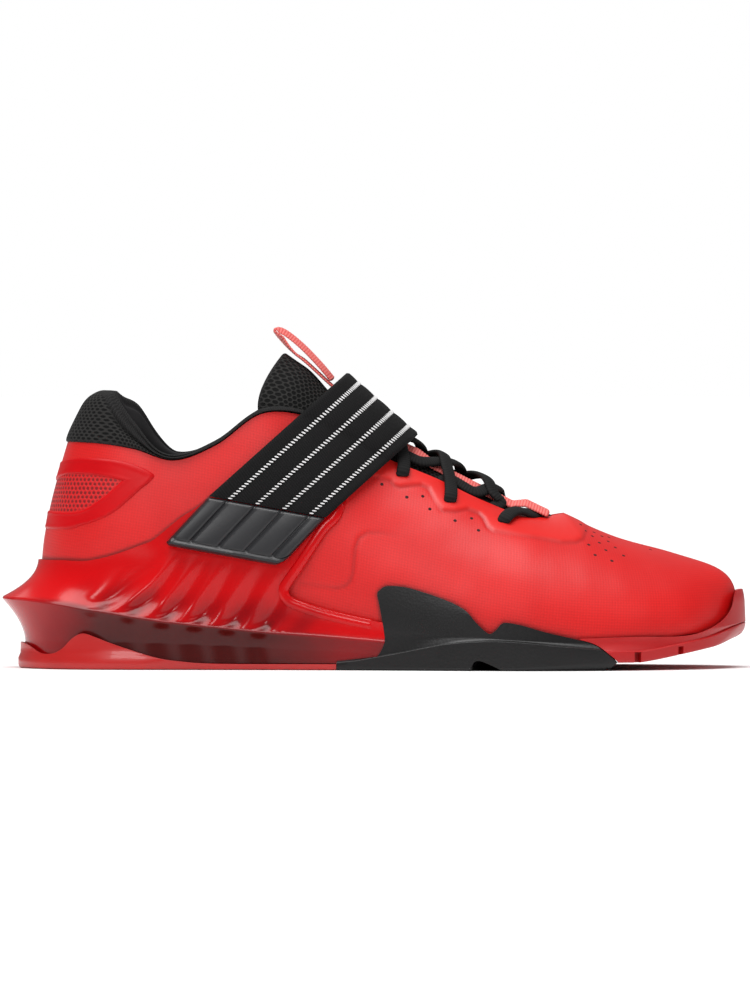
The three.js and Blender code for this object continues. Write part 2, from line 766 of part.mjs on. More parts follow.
// A band with a flat-oval section and rounded ends along a path
// Each place has a point, the outward direction there and the way across.
const bandOval = [
  [-0.5, 0],
  [-0.34, 0.44],
  [0, 0.5],
  [0.34, 0.44],
  [0.5, 0],
  [0.34, -0.44],
  [-0.34, -0.44],
];
function band(places, width, thickness) {
  const last = places.length - 1;
  const ends = [0, last].map((i) => {
    const way = places[i].point.clone().sub(places[i === 0 ? 1 : last - 1].point).normalize();
    return { ...places[i], point: places[i].point.clone().addScaledVector(way, thickness / 2), size: 0.45 };
  });
  return loft(
    [ends[0], ...places, ends[1]].map(({ point, normal, across, size = 1 }) =>
      bandOval.map(([a, b]) =>
        point
          .clone()
          .addScaledVector(across, a * width * size)
          .addScaledVector(normal, b * thickness * size),
      ),
    ),
  );
}

// Smooth run of places through knots, each a point with the outward direction there
function placesThrough(knots, count) {
  const points = new THREE.CatmullRomCurve3(knots.map((knot) => knot.point), false, "centripetal");
  const normals = new THREE.CatmullRomCurve3(knots.map((knot) => knot.normal), false, "uniform");
  return Array.from({ length: count + 1 }, (_, i) => {
    const t = i / count;
    const ahead = points.getTangent(t);
    const out = normals.getPoint(t);
    const normal = out.addScaledVector(ahead, -out.dot(ahead)).normalize();
    return { point: points.getPoint(t), normal, across: ahead.clone().cross(normal).normalize() };
  });
}

// Eyelets in pairs from the front: place on the upper's side, the tongue's station beside it and
// how far across the tongue a strand goes before it slips under the throat's edge
const eyeletKeys = ["at", "top", "s", "edge"];
const eyeletRows = [
  [0.661, 0.605, 1.95, 0.44],
  [0.5855, 0.685, 2.9, 0.48],
  [0.5173, 0.793, 3.74, 0.49],
  [0.455, 0.895, 4.6, 0.62],
].map(named(eyeletKeys));

function eyeletOn(side, pair) {
  const { at, top } = eyeletRows[pair];
  return findOnSide(side, alongX(at), levelAt(at, top));
}

function onUpper(side, u, h, lift) {
  return { point: skin(side, u, h, lift), normal: normalAt(side, u, h) };
}

function onTongue(s, across, lift) {
  return { point: tonguePoint(s, across, lift), normal: tongueNormal(s, across) };
}

const laceLift = laceThickness / 2 + 0.55;
const overWebbing = 1.9; // the crossings rise this much to clear the webbing
const crossRise = 1.2; // one strand of a crossing lies this much over the other
const barStation = 1.16; // the first stretch of lace crosses the tongue here

// Knots of a lace that comes out of an eyelet and over the throat's edge
function outOfEyelet(side, pair, forwards) {
  const { u, h } = eyeletOn(side, pair);
  return [
    onUpper(side, u, h, laceLift),
    onUpper(side, u + forwards * 0.7, lerp(h, 1, 0.85), laceLift + 0.6),
  ];
}

// Knots of a lace from the middle of the tongue to the far edge of the throat
function underEdge(side, from, pair) {
  const { s, edge } = eyeletRows[pair];
  return [
    onTongue(lerp(from, s, 0.55), side * edge * 0.6, laceLift + (side === lateral ? 2.45 : 1)),
    onTongue(lerp(from, s, 0.88), side * edge, laceLift + (side === lateral ? 1.3 : 0.4)),
  ];
}

function laceStrand(side, pair, rise) {
  const from = eyeletRows[pair].s;
  const to = eyeletRows[pair + 1].s;
  const middle = lerp(from, to, 0.5);
  const start = pair === 0 ? underEdge(side, middle, 0).reverse() : outOfEyelet(side, pair, 0.03);
  if (pair > 0) start.push(onTongue(lerp(from, to, 0.25), side * 0.45, laceLift + 1.9));
  const high = laceLift + overWebbing + rise;
  const knots = [
    ...start,
    onTongue(lerp(from, to, 0.43), side * 0.14, high),
    onTongue(lerp(from, to, 0.57), -side * 0.14, high),
    ...underEdge(-side, middle, pair + 1),
  ];
  return band(placesThrough(knots, pair === 0 ? 8 : 11), laceWidth, laceThickness);
}

function laceCross(pair) {
  return laceStrand(lateral, pair, crossRise).add(laceStrand(medial, pair, 0));
}

// The first stretch of lace runs forwards from both eyelets and under the webbing's front end
function laceBar() {
  const side = (which) => [
    ...outOfEyelet(which, 0, 0.5),
    onTongue(barStation + 0.12, which * 0.4, laceLift + 1.3),
    onTongue(barStation, which * 0.16, laceLift + 0.3),
  ];
  return band(placesThrough([...side(lateral), ...side(medial).reverse()], 15), laceWidth, laceThickness);
}

function eyeletHoles() {
  const holes = [];
  for (let pair = 0; pair < eyeletRows.length; pair += 1) {
    for (const side of [lateral, medial]) {
      const { u, h } = eyeletOn(side, pair);
      const pin = new THREE.CylinderGeometry(eyeletRadius, eyeletRadius, 12, 8);
      const turn = new THREE.Quaternion().setFromUnitVectors(vec(0, 1, 0), normalAt(side, u, h));
      const place = skin(side, u, h, 0);
      pin.applyQuaternion(turn).translate(place.x, place.y, place.z);
      holes.push(solidOf(pin));
    }
  }
  return wasm.Manifold.union(holes);
}

// The collar: a padded cuff round the heel that thins to a binding along the topline
// u: row of the upper. lateral, medial: height over the topline. lean: shift inwards of its top.
// pad: its thickness. All in mm but u.
const collarKeys = ["u", "lateral", "medial", "lean", "pad"];
const collarRows = [
  [0, 20.4, 20.4, 12.6, 5.8],
  [1, 20.6, 20.6, 11, 5.8],
  [2, 20, 20.2, 6.5, 5.8],
  [2.5, 16.5, 18.6, 4.5, 6],
  [3, 7.4, 17, 3, 5.2],
  [3.5, 2.6, 7.4, 1.6, 3.6],
  [4, 2.3, 2.5, 0.8, 2.2],
  [5, 2.3, 2.3, 0.6, 1.4],
  [7.6, 2.3, 2.3, 0.5, 1.2],
].map(([u, ...rest]) => ({ at: u, ...named(collarKeys.slice(1))(rest) }));
const collarEnd = 7;
const liningEnd = 1.3; // thickness of the lining at its lower edge
const cuffMiddle = alongX(0.17); // the cuff leans in towards a line here

function collarSection(side, u) {
  const get = (key) => tableAt(collarRows, key, u);
  const cap = get(side === lateral ? "lateral" : "medial");
  const lean = get("lean");
  const pad = get("pad");
  const rim = skin(side, u, 1, 0);
  const out = vec(rim.x - cuffMiddle, rim.y - axisY, 0).normalize();
  out.lerp(outwardAt(side, u), THREE.MathUtils.smoothstep(u, 1.5, 3)).normalize();
  const place = (o, z) => rim.clone().addScaledVector(out, o).add(vec(0, 0, z));
  const inner = -upperWall - fitGap - 0.2;
  const levelStep = 1 / upperLevels;
  const lifted = (point) => point.add(vec(0, 0, fitGap + 0.25));
  return [
    lifted(skin(side, u, 1, collarProud)),
    place(collarProud + 0.6 - 0.12 * lean, 0.42 * cap),
    place(collarProud - 0.5 * lean, 0.82 * cap),
    place(-0.9 * lean - 0.2 * pad, cap),
    place(-lean - 0.62 * pad, 0.97 * cap),
    place(-lean - 0.98 * pad, 0.78 * cap),
    place(-0.55 * lean - upperWall - pad, 0.3 * cap),
    skin(side, u, 1 - levelStep, inner - pad * 0.8),
    skin(side, u, 1 - 2 * levelStep, inner - liningEnd),
    skin(side, u, 1 - 2 * levelStep, inner),
    skin(side, u, 1 - levelStep, inner),
    lifted(skin(side, u, 1, inner)),
  ];
}

function collarBody() {
  const half = stationsBetween(0, collarEnd, upperSteps);
  const sections = [
    ...half.slice(1).reverse().map((u) => collarSection(lateral, u)),
    ...half.map((u) => collarSection(medial, u)),
  ];
  return loft(sections);
}

// The strap lies over the instep; across runs from its rear edge to its front edge
// and down runs from the middle of the instep to the strap's end, both in side view
const strapRear = [0.4393, 1.285]; // the strap's highest points: share of upperLength, and of upperHeight
const strapFront = [0.5415, 1.017]; // over the footbed
const strapWay = [-0.745, -0.667];
const archRear = 25; // how far down the strap leaves the tongue for the upper
const archFront = 15;
const strapEndRear = 76; // length from the instep to the tab
const strapEndFront = 51;
const medialEndRear = 66;
const medialEndFront = 42;
const tabWay = [-0.68, -0.733]; // the tab hangs a little steeper than the strap
const tabLength = 27; // its corners are rounded by a shorter length
const tabCornerRear = 25.3;
const tabCornerFront = 22.8;
const strapLift = 3.5; // over the upper beside the laces
const strapLow = 2.4; // over the upper at the tab
const tabLift = 3.4; // of the tab's lower end

function strapSpot(across, down) {
  const [a, b] = [strapRear, strapFront].map(([at, top]) => [alongX(at), levelAt(at, top)]);
  const straight = Math.min(down, lerp(strapEndRear, strapEndFront, across));
  const rest = down - straight;
  return [0, 1].map((i) => lerp(a[i], b[i], across) + strapWay[i] * straight + tabWay[i] * rest);
}

function strapOnUpper(side, across, down, lift) {
  const [x, z] = strapSpot(across, down);
  const { u, h } = findOnSide(side, x, z);
  const point = skin(side, u, h, 0);
  const normal = normalAt(side, u, h);
  point.y += side * lift / Math.abs(normal.y);
  return point;
}

// Share of the arch: 0 on the middle of the instep, 1 where the strap meets the upper
function strapArch(side, across, share, lift) {
  const reach = lerp(archRear, archFront, across);
  const foot = strapOnUpper(side, across, reach, lift);
  const wide = Math.abs(foot.y - axisY);
  const angle = (share * Math.PI) / 2;
  const fall = (1 - Math.cos(angle * 0.94)) / (1 - Math.cos(0.47 * Math.PI));
  const [x, z] = strapSpot(across, reach * fall);
  const topLift = lift - strapLift - strapThickness;
  const up = topLift * Math.cos(angle);
  const bow = Math.sin(angle * 0.94) / Math.sin(0.47 * Math.PI);
  return vec(x + up * 0.646, axisY + side * wide * bow, z + up * 0.763);
}

function strapSection(side, share, endRear, endFront, lowLift) {
  const widths = [0, 0.33, 0.67, 1];
  const at = (across, extra) => {
    if (share <= 1) return strapArch(side, across, share, strapLift + extra);
    const reach = lerp(archRear, archFront, across);
    const end = lerp(endRear, endFront, across);
    const t = share - 1;
    return strapOnUpper(side, across, lerp(reach, end, t), lerp(strapLift, lowLift, t) + extra);
  };
  return [...widths.map((w) => at(w, strapThickness)), ...widths.map((w) => at(w, 0)).reverse()];
}

function strapBody() {
  const shares = [0.2, 0.4, 0.6, 0.8, 1, 1.14, 1.28, 1.43, 1.57, 1.71, 1.86, 2];
  const sections = [
    ...shares.slice().reverse().map((s) => strapSection(lateral, s, strapEndRear, strapEndFront, strapLow)),
    strapSection(lateral, 0, strapEndRear, strapEndFront, strapLow),
    ...shares.map((s) => strapSection(medial, s, medialEndRear, medialEndFront, strapLow)),
  ];
  return loft(sections);
}

// The rubber tab at the strap's end, with ribs between its grooves and a lip along its edge
const tabWidths = [0, 0.05, 0.13, 0.17, 0.21, 0.37, 0.41, 0.45, 0.6, 0.64, 0.68, 0.83, 0.87, 0.91, 0.95, 1];
const tabGrooves = [0.17, 0.41, 0.64, 0.87];
function tabBody() {
  const section = (t) => {
    const lift = lerp(strapLow, tabLift, t);
    const lip = t > 0.9 ? 1.2 : 0;
    const at = (across, extra) => {
      const start = lerp(strapEndRear, strapEndFront, across);
      const length = across === 0 ? tabCornerRear : across === 1 ? tabCornerFront : tabLength;
      return strapOnUpper(lateral, across, start + lerp(fitGap, length, t), lift + extra);
    };
    const groove = t < 0.9 ? tabRibHeight : tabRibHeight / 3;
    const top = (w) => tabThickness - (tabGrooves.includes(w) ? groove : 0) + lip;
    return [...tabWidths.map((w) => at(w, top(w))), ...tabWidths.toReversed().map((w) => at(w, 0))];
  };
  return loft([0, 0.3, 0.6, 0.88, 0.92, 1].map(section), stripFaces);
}

// Overlays: a thin layer over the upper, kept inside an outline in side view
function overlay(relief, outline, hole) {
  const layer = upperShell(fitGap + relief, fitGap);
  const kept = layer.intersect(sideBlock(onSide(outline)));
  return hole ? kept.subtract(sideBlock(onSide(hole))) : kept;
}

const counterOutline = [
  [-0.05, 0.7],
  [0.06, 0.722],
  [0.104, 0.716],
  [0.128, 0.703],
  [0.147, 0.68],
  [0.16, 0.658],
  [0.1645, 0.637],
  [0.156, 0.6],
  [0.147, 0.575],
  [0.127, 0.506],
  [0.104, 0.436],
  [0.08, 0.393],
  [0.06, 0.37],
  [0.041, 0.348],
  [-0.05, 0.348],
];
const counterWindow = [
  [-0.06, 0.59],
  [0.0236, 0.61],
  [0.0355, 0.63],
  [0.06, 0.632],
  [0.089, 0.623],
  [0.1145, 0.607],
  [0.1093, 0.584],
  [0.095, 0.536],
  [0.0803, 0.497],
  [0.0645, 0.46],
  [0.0425, 0.441],
  [0.0127, 0.449],
  [-0.06, 0.449],
];

// The insole lies on the footbed inside the upper
function insoleBody() {
  const inset = -upperWall - 0.8;
  const column = (side, u) => {
    const foot = featherAt(side, u);
    const pointAt = (z) => skin(side, u, heightShare(side, u, z), inset);
    const low = pointAt(foot.z);
    low.z = foot.z + 0.05;
    const edge = pointAt(foot.z + insoleThickness + 1.8);
    const flat = edge.clone().addScaledVector(outwardAt(side, u), -9);
    flat.z = foot.z + insoleThickness;
    return [low, edge, flat];
  };
  return bodyBetween(stationsBetween(0.35, lastRow - 0.35, 1.6), column);
}

// The pull loop, folded from webbing, in side view along its middle line from end to end
const loopRows = [
  [0.4375, 1.149],
  [0.427, 1.173],
  [0.405, 1.233],
  [0.38, 1.303],
  [0.356, 1.362],
  [0.34, 1.415],
  [0.3345, 1.447],
  [0.342, 1.458],
  [0.356, 1.438],
  [0.377, 1.385],
  [0.401, 1.308],
  [0.4195, 1.238],
];
function loopBody() {
  const curve = new THREE.SplineCurve(onSide(loopRows).map(([x, z]) => new THREE.Vector2(x, z)));
  const count = 26;
  const sections = Array.from({ length: count + 1 }, (_, i) => {
    const p = curve.getPoint(i / count);
    const ahead = curve.getTangent(i / count);
    return [
      [-0.5, -0.5],
      [-0.5, 0.5],
      [0.5, 0.5],
      [0.5, -0.5],
    ].map(([a, b]) => {
      const out = b * webbingThickness;
      return vec(p.x - ahead.y * out, axisY + a * loopWidth, p.y + ahead.x * out);
    });
  });
  return loft(sections);
}

// Webbing along the tongue's middle; near its front end it arches over the lace
const webbingFront = 0.98;
const webbingRear = 5.1;
const webbingAside = 0.26; // beside the laces it lies this far to the lateral side, as across the tongue
const overBar = 2.7; // it rises this much more than the lace it passes over
function webbingBody() {
  return loft(
    [...stationsBetween(webbingFront, 1.7, 10), ...stationsBetween(1.9, webbingRear, 4)].map((s) => {
      const half = (webbingWidth / 2 / rowShare(tongueRows, "half", s)) * (Math.sin(tongueArc) / tongueArc);
      const near = clamp(1 - Math.max((barStation - s) / 0.36, (s - barStation) / 0.55), 0, 1);
      const low = fitGap + (laceThickness + overBar) * THREE.MathUtils.smoothstep(near, 0, 0.5);
      const middle = -webbingAside * (1 - THREE.MathUtils.smoothstep(s, 3.5, 4.9));
      return [
        ...[-half, 0, half].map((a) => tonguePoint(s, middle + a, low + webbingThickness)),
        ...[half, 0, -half].map((a) => tonguePoint(s, middle + a, low)),
      ];
    }),
  );
}

function mesh(name, solid, color, roughness, metalness = 0) {
  const data = solid.getMesh();
  const stride = data.numProp;
  const position = new Float32Array(data.numVert * 3);
  for (let i = 0; i < data.numVert; i += 1) {
    position.set(data.vertProperties.subarray(i * stride, i * stride + 3), i * 3);
  }
  const geometry = new THREE.BufferGeometry();
  geometry.setAttribute("position", new THREE.BufferAttribute(position, 3));
  geometry.setIndex(new THREE.BufferAttribute(new Uint32Array(data.triVerts), 1));
  geometry.computeVertexNormals();
  const piece = new THREE.Mesh(geometry, new THREE.MeshStandardMaterial({ color, roughness, metalness }));
  piece.name = name;
  return piece;
}

const shoe = new THREE.Group();
const lastCut = lastBody(fitGap);
const upperCut = upperShell(fitGap, -upperWall - fitGap, 0.012);
const clipCut = clipBody(fitGap);

const upper = upperShell(0, -upperWall).subtract(eyeletHoles());
const clip = clipBody(0).subtract(lastCut);
const heelOutline = [
  [-upperLength, levelAt(0, -0.62)],
  ...smoothOutline(onSide(heelRimRows), 2),
  [alongX(blackStart) - fitGap, -5],
  [-upperLength, -5],
];
const heelTread = bodyBetween(stationsBetween(0, 7.5, 3), heelTreadColumn)
  .intersect(sideBlock(heelOutline))
  .subtract(clipCut);
const blackOutline = [...onSide(wrapRows), ...onSide(blackNose), [alongX(0.785), -5], [alongX(blackStart), -5]];
const blackTread = bodyBetween(stationsBetween(6.6, 13, 3), (side, u) => treadColumn(side, u, () => 0))
  .intersect(sideBlock(blackOutline))
  .subtract(sideBlock([...onSide(flexNotch), [alongX(0.6655), -5], [alongX(0.6155), -5]]))
  .subtract(lastCut)
  .subtract(clipCut);
const toeOutline = [...onSide(toeEdgeRows), [alongX(0.77), -5], [alongX(1.1), -5], [alongX(1.1), levelAt(1, 0.23)]];
const blackEnd = onSide(wrapRows).at(-1);
const blackGrown = [
  ...onSide(wrapRows).map(([x, z]) => [x + fitGap, z + fitGap]),
  [blackEnd[0] + 2 * fitGap, blackEnd[1]],
  [blackEnd[0] + 2 * fitGap, -5],
  [alongX(blackStart), -5],
];
const toeTread = bodyBetween(stationsBetween(11.4, lastRow, 3.5), (side, u) => treadColumn(side, u, toeUnderside))
  .intersect(sideBlock(toeOutline))
  .subtract(sideBlock(blackGrown))
  .subtract(lastCut);
const collar = collarBody();
const tongue = tongueBody().subtract(upperCut);
const counter = overlay(counterRelief, counterOutline, counterWindow);
const strap = strapBody();
const tab = tabBody();

const pieces = [
  ["upper", upper, 0xe02a24, 0.5],
  ["heel_counter", counter, 0xb5161c, 0.4],
  ["collar", collar, 0x141414, 0.9],
  ["tongue", tongue, 0x1b1a19, 0.9],
  ["tongue_webbing", webbingBody(), 0xf0786c, 0.8],
  ["pull_loop", loopBody(), 0xf0786c, 0.8],
  ["insole", insoleBody(), 0x1a1a1a, 0.9],
  ["midsole", clip, 0xc01f1f, 0.3],
  ["heel_outsole", heelTread, 0xb82a26, 0.45],
  ["forefoot_outsole", blackTread, 0x1a191a, 0.6],
  ["toe_outsole", toeTread, 0xb02a28, 0.5],
  ["strap", strap, 0x151515, 0.85],
  ["strap_tab", tab, 0x1c1b1b, 0.6],
  ["lace_bar", laceBar(), 0x121212, 0.8],
];
for (let pair = 0; pair + 1 < eyeletRows.length; pair += 1) {
  pieces.push(["lace_cross_" + (pair + 1), laceCross(pair), 0x121212, 0.8]);
}
for (const [name, solid, color, roughness] of pieces) {
  shoe.add(mesh(name, solid, color, roughness));
}

export default shoe;
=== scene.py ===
# A red weightlifting shoe for the right foot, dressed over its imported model.
# The toe points along +X, the lateral side faces -Y. Tables hold millimetres or shares of the last's
# named sizes, and the meshes are in metres.
import math
from functools import lru_cache

import bpy
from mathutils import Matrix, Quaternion, Vector, noise


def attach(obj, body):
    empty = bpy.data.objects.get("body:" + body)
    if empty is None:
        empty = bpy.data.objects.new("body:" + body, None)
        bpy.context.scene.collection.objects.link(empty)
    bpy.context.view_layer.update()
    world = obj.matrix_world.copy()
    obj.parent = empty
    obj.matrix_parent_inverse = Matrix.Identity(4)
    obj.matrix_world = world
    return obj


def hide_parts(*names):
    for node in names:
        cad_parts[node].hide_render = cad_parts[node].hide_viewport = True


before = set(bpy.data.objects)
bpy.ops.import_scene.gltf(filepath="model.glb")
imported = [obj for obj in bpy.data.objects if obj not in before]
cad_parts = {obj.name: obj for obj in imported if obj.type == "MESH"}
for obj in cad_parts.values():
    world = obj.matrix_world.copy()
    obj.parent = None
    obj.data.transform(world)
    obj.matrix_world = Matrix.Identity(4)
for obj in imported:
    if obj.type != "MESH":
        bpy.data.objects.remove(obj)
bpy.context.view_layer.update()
mm = 0.001
print("frame loaded")

# The last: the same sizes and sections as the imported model's
last = {
    "length": 286,
    "ball": 100,
    "height": 80,
    "wall": 2.4,
    "gap": 0.3,
    "heelStack": 29,
    "forefootStack": 10,
    "spring": 7.4,
    "toeStep": 3.3,
    "toeSweep": 9,
    "heelFin": 16,
    "toeRubber": 3.5,
    "outsole": 2.5,
    "clipEdge": 1.5,
    "ribDepth": 2.6,
    "ribPitch": 13.4,
    "outrigger": 6.5,
    "medialReach": 4,
}
sectionKeys = ["at", "side", "topAt", "topSide", "top", "bulge", "rise", "shoulder", "drop"]
heelRow = [0, 0, 0.0376, 0, 0.798, 0.02, 0.3, 0.062, 0.3]
toeRow = [1, 0.06, 0.936, 0.05, 0.338, 0.006, 0.66, 0.17, 0.16]
lateralRows = [
    heelRow,
    [0.024, -0.175, 0.048, -0.135, 0.798, 0.02, 0.3, 0.06, 0.3],
    [0.073, -0.28, 0.0865, -0.225, 0.79, 0.025, 0.3, 0.055, 0.3],
    [0.132, -0.315, 0.1355, -0.265, 0.7675, 0.03, 0.3, 0.045, 0.28],
    [0.195, -0.325, 0.1914, -0.283, 0.7275, 0.035, 0.3, 0.035, 0.28],
    [0.261, -0.335, 0.2526, -0.288, 0.83, 0.035, 0.3, 0.04, 0.3],
    [0.331, -0.355, 0.3208, -0.275, 1.0225, 0.03, 0.32, 0.07, 0.3],
    [0.408, -0.39, 0.4012, -0.25, 1.019, 0.03, 0.34, 0.1, 0.27],
    [0.492, -0.435, 0.4851, -0.225, 0.885, 0.03, 0.38, 0.12, 0.22],
    [0.573, -0.48, 0.562, -0.205, 0.806, 0.03, 0.42, 0.14, 0.17],
    [0.65, -0.51, 0.632, -0.18, 0.714, 0.028, 0.45, 0.17, 0.13],
    [0.723, -0.515, 0.6984, -0.14, 0.641, 0.025, 0.48, 0.2, 0.09],
    [0.8, -0.48, 0.7509, 0.02, 0.65, 0.022, 0.5, 0.26, 0.1],
    [0.877, -0.405, 0.8208, 0.03, 0.514, 0.018, 0.52, 0.26, 0.11],
    [0.95, -0.255, 0.8872, 0.04, 0.415, 0.012, 0.56, 0.22, 0.14],
    toeRow,
]
medialRows = [
    heelRow,
    [0.024, 0.175, 0.048, 0.135, 0.8, 0.02, 0.3, 0.06, 0.3],
    [0.073, 0.275, 0.0865, 0.225, 0.8, 0.025, 0.3, 0.055, 0.3],
    [0.132, 0.305, 0.1355, 0.26, 0.785, 0.03, 0.3, 0.045, 0.28],
    [0.195, 0.31, 0.1914, 0.273, 0.736, 0.03, 0.3, 0.035, 0.28],
    [0.261, 0.305, 0.2526, 0.275, 0.824, 0.03, 0.32, 0.04, 0.3],
    [0.331, 0.3, 0.3208, 0.265, 1.0225, 0.03, 0.34, 0.06, 0.3],
    [0.408, 0.31, 0.4012, 0.25, 1.019, 0.03, 0.36, 0.08, 0.27],
    [0.492, 0.35, 0.4851, 0.23, 0.8975, 0.03, 0.4, 0.1, 0.22],
    [0.573, 0.41, 0.562, 0.215, 0.815, 0.03, 0.44, 0.12, 0.17],
    [0.65, 0.465, 0.632, 0.2, 0.724, 0.03, 0.47, 0.15, 0.13],
    [0.727, 0.485, 0.6984, 0.17, 0.6475, 0.025, 0.5, 0.18, 0.09],
    [0.81, 0.46, 0.7509, 0.02, 0.65, 0.022, 0.52, 0.24, 0.1],
    [0.89, 0.4, 0.8208, 0.03, 0.514, 0.018, 0.54, 0.24, 0.11],
    [0.963, 0.285, 0.8872, 0.04, 0.415, 0.012, 0.6, 0.21, 0.14],
    toeRow,
]
lateral, medial = -1, 1
lastRow = len(lateralRows) - 1
throatRow = 12


def named(keys, rows):
    return [dict(zip(keys, row)) for row in rows]


rowsOf = {lateral: named(sectionKeys, lateralRows), medial: named(sectionKeys, medialRows)}
heelX = (last["heelFin"] - last["length"] - last["toeRubber"]) / 2
widestLateral = min(row[1] for row in lateralRows) * last["ball"] - last["outrigger"]
widestMedial = max(row[1] for row in medialRows) * last["ball"] + last["medialReach"]
axisY = -(widestLateral + widestMedial) / 2


def clamp(value, low=0.0, high=1.0):
    return max(low, min(high, value))


def lerp(a, b, t):
    return a + (b - a) * t


def smooth(value, low, high):
    t = clamp((value - low) / (high - low))
    return t * t * (3 - 2 * t)


def bump(value, middle, half):
    return max(0.0, 1 - abs(value - middle) / half)


def bisected(low, high, fallsShort, steps=24):  # the place where fallsShort stops being true
    for _ in range(steps):
        middle = (low + high) / 2
        if fallsShort(middle):
            low = middle
        else:
            high = middle
    return (low + high) / 2


def alongX(at):
    return heelX + at * last["length"]


def shareAt(x):
    return (x - heelX) / last["length"]


def toeUnderside(at):
    return last["toeStep"] + last["toeSweep"] * clamp((at - 0.85) / 0.15) ** 1.15


def footbedAt(at):
    lift = 1 - smooth(at, 0.06, 0.78)
    spring = clamp((at - 0.68) / 0.32)
    low, high = last["forefootStack"], last["heelStack"]
    return low + lift * (high - low) + last["spring"] * spring**2


def levelAt(at, up):
    footbed = footbedAt(at)
    return footbed * (1 + up) if up < 0 else footbed + up * last["height"]


def onSide(rows):
    return [(alongX(at), levelAt(at, up)) for at, up in rows]


def catmull(a, b, c, d, t):
    square, cube = 2 * a - 5 * b + 4 * c - d, 3 * b - a - 3 * c + d
    return 0.5 * (2 * b + (c - a) * t + square * t * t + cube * t * t * t)


def rowOf(side, index):
    if index < 0:
        return rowsOf[-side][-index]
    if index > lastRow:
        return rowsOf[-side][2 * lastRow - index]
    return rowsOf[side][index]


def between(side, key, u):
    index = min(math.floor(u), lastRow - 1)
    before, here, ahead, after = [rowOf(side, index + k)[key] for k in (-1, 0, 1, 2)]
    if key.startswith("top") and index == throatRow:
        before = 2 * here - ahead
    if key.startswith("top") and index == throatRow - 1:
        after = 2 * ahead - here
    return catmull(before, here, ahead, after, u - index)


@lru_cache(maxsize=None)
def featherAt(side, u):
    if u < 0:
        return featherAt(-side, -u)
    if u > lastRow:
        return featherAt(-side, 2 * lastRow - u)
    at = between(side, "at", u)
    return Vector((alongX(at), axisY + between(side, "side", u) * last["ball"], footbedAt(at)))


def footAt(side, u):
    return featherAt(side, round(u, 5))


def shareOf(side, u):
    return shareAt(footAt(side, u).x)


smallStep = 0.02


@lru_cache(maxsize=None)
def outwardAt(side, u):
    way = featherAt(side, u + smallStep) - featherAt(side, u - smallStep)
    if u - smallStep < 0 or u + smallStep > lastRow:
        a = featherAt(side if u >= smallStep else -side, abs(u - smallStep))
        way = featherAt(side, u + smallStep) - a
    way = Vector((way.x, way.y, 0)).normalized()
    return Vector((-side * way.y, side * way.x, 0))


@lru_cache(maxsize=None)
def sectionAt(side, u):
    foot = featherAt(side, u)
    topZ = foot.z + between(side, "top", u) * last["height"]
    topY = axisY + between(side, "topSide", u) * last["ball"]
    head = Vector((alongX(between(side, "topAt", u)), topY, topZ))
    height = topZ - foot.z
    low = foot + outwardAt(side, u) * between(side, "bulge", u) * last["ball"]
    low.z += between(side, "rise", u) * height
    away = Vector((foot.x - head.x, foot.y - head.y, 0)).normalized()
    high = head + away * between(side, "shoulder", u) * last["ball"]
    high.z -= between(side, "drop", u) * height
    return foot, low, high, head


def profile(side, u, h):
    if u < 0:
        return profile(-side, -u, h)
    if u > lastRow:
        return profile(-side, 2 * lastRow - u, h)
    a, b, c, d = sectionAt(side, round(u, 5))
    k = 1 - h
    return a * (k * k * k) + b * (3 * k * k * h) + c * (3 * k * h * h) + d * (h * h * h)


def sideNormal(side, u, h):
    low, high = clamp(h - smallStep, 0, 1 - smallStep), clamp(h + smallStep, smallStep, 1)
    along = profile(side, u + smallStep, h) - profile(side, u - smallStep, h)
    up = profile(side, u, high) - profile(side, u, low)
    return (along.cross(up) if side == lateral else up.cross(along)).normalized()


def normalAt(side, u, h):
    normal = sideNormal(side, u, h)
    if h == 1 and u >= throatRow:
        return (normal + sideNormal(-side, u, h)).normalized()
    return normal


def skin(side, u, h, offset=0.0):
    return profile(side, u, h) + normalAt(side, u, h) * offset


def heightShare(side, u, z):
    if u < 0:
        side, u = -side, -u
    if u > lastRow:
        side, u = -side, 2 * lastRow - u
    a, b, c, d = [p.z for p in sectionAt(side, round(u, 5))]

    def isLower(h):
        k = 1 - h
        return a * k * k * k + b * 3 * k * k * h + c * 3 * k * h * h + d * h * h * h < z

    return bisected(0.0, 1.0, isLower, 22)


def wallPoint(side, u, z, out):
    foot = footAt(side, u)
    base = foot if z <= foot.z else profile(side, u, heightShare(side, u, z))
    point = base + outwardAt(side, round(clamp(u, 0, lastRow), 5)) * out
    point.z = z
    return point


def findOnSide(side, x, z):
    u, h = lastRow / 2, 0
    for _ in range(12):
        h = heightShare(side, u, z)
        here = profile(side, u, h).x
        slope = (profile(side, u + smallStep, h).x - here) / smallStep
        u = clamp(u + (x - here) / slope, 0.5, throatRow)
    return u, h


def rowAt(side, x, z, low=0.0, high=6.0, steps=24):  # the row where the wall reaches x at height z
    return bisected(low, high, lambda u: profile(side, u, heightShare(side, u, z)).x < x, steps)


def tableAt(rows, key, at):
    i = 0
    while i < len(rows) - 2 and at > rows[i + 1]["at"]:
        i += 1
    a, b = rows[i], rows[i + 1]
    t = clamp((at - a["at"]) / (b["at"] - a["at"]))
    before, after = rows[max(i - 1, 0)], rows[min(i + 2, len(rows) - 1)]
    return catmull(before[key], a[key], b[key], after[key], t)


def rowShare(rows, key, s):
    i = int(clamp(math.floor(s), 0, len(rows) - 2))
    a, b, c, d = [rows[int(clamp(i + k, 0, len(rows) - 1))][key] for k in (-1, 0, 1, 2)]
    return catmull(a, b, c, d, s - i)


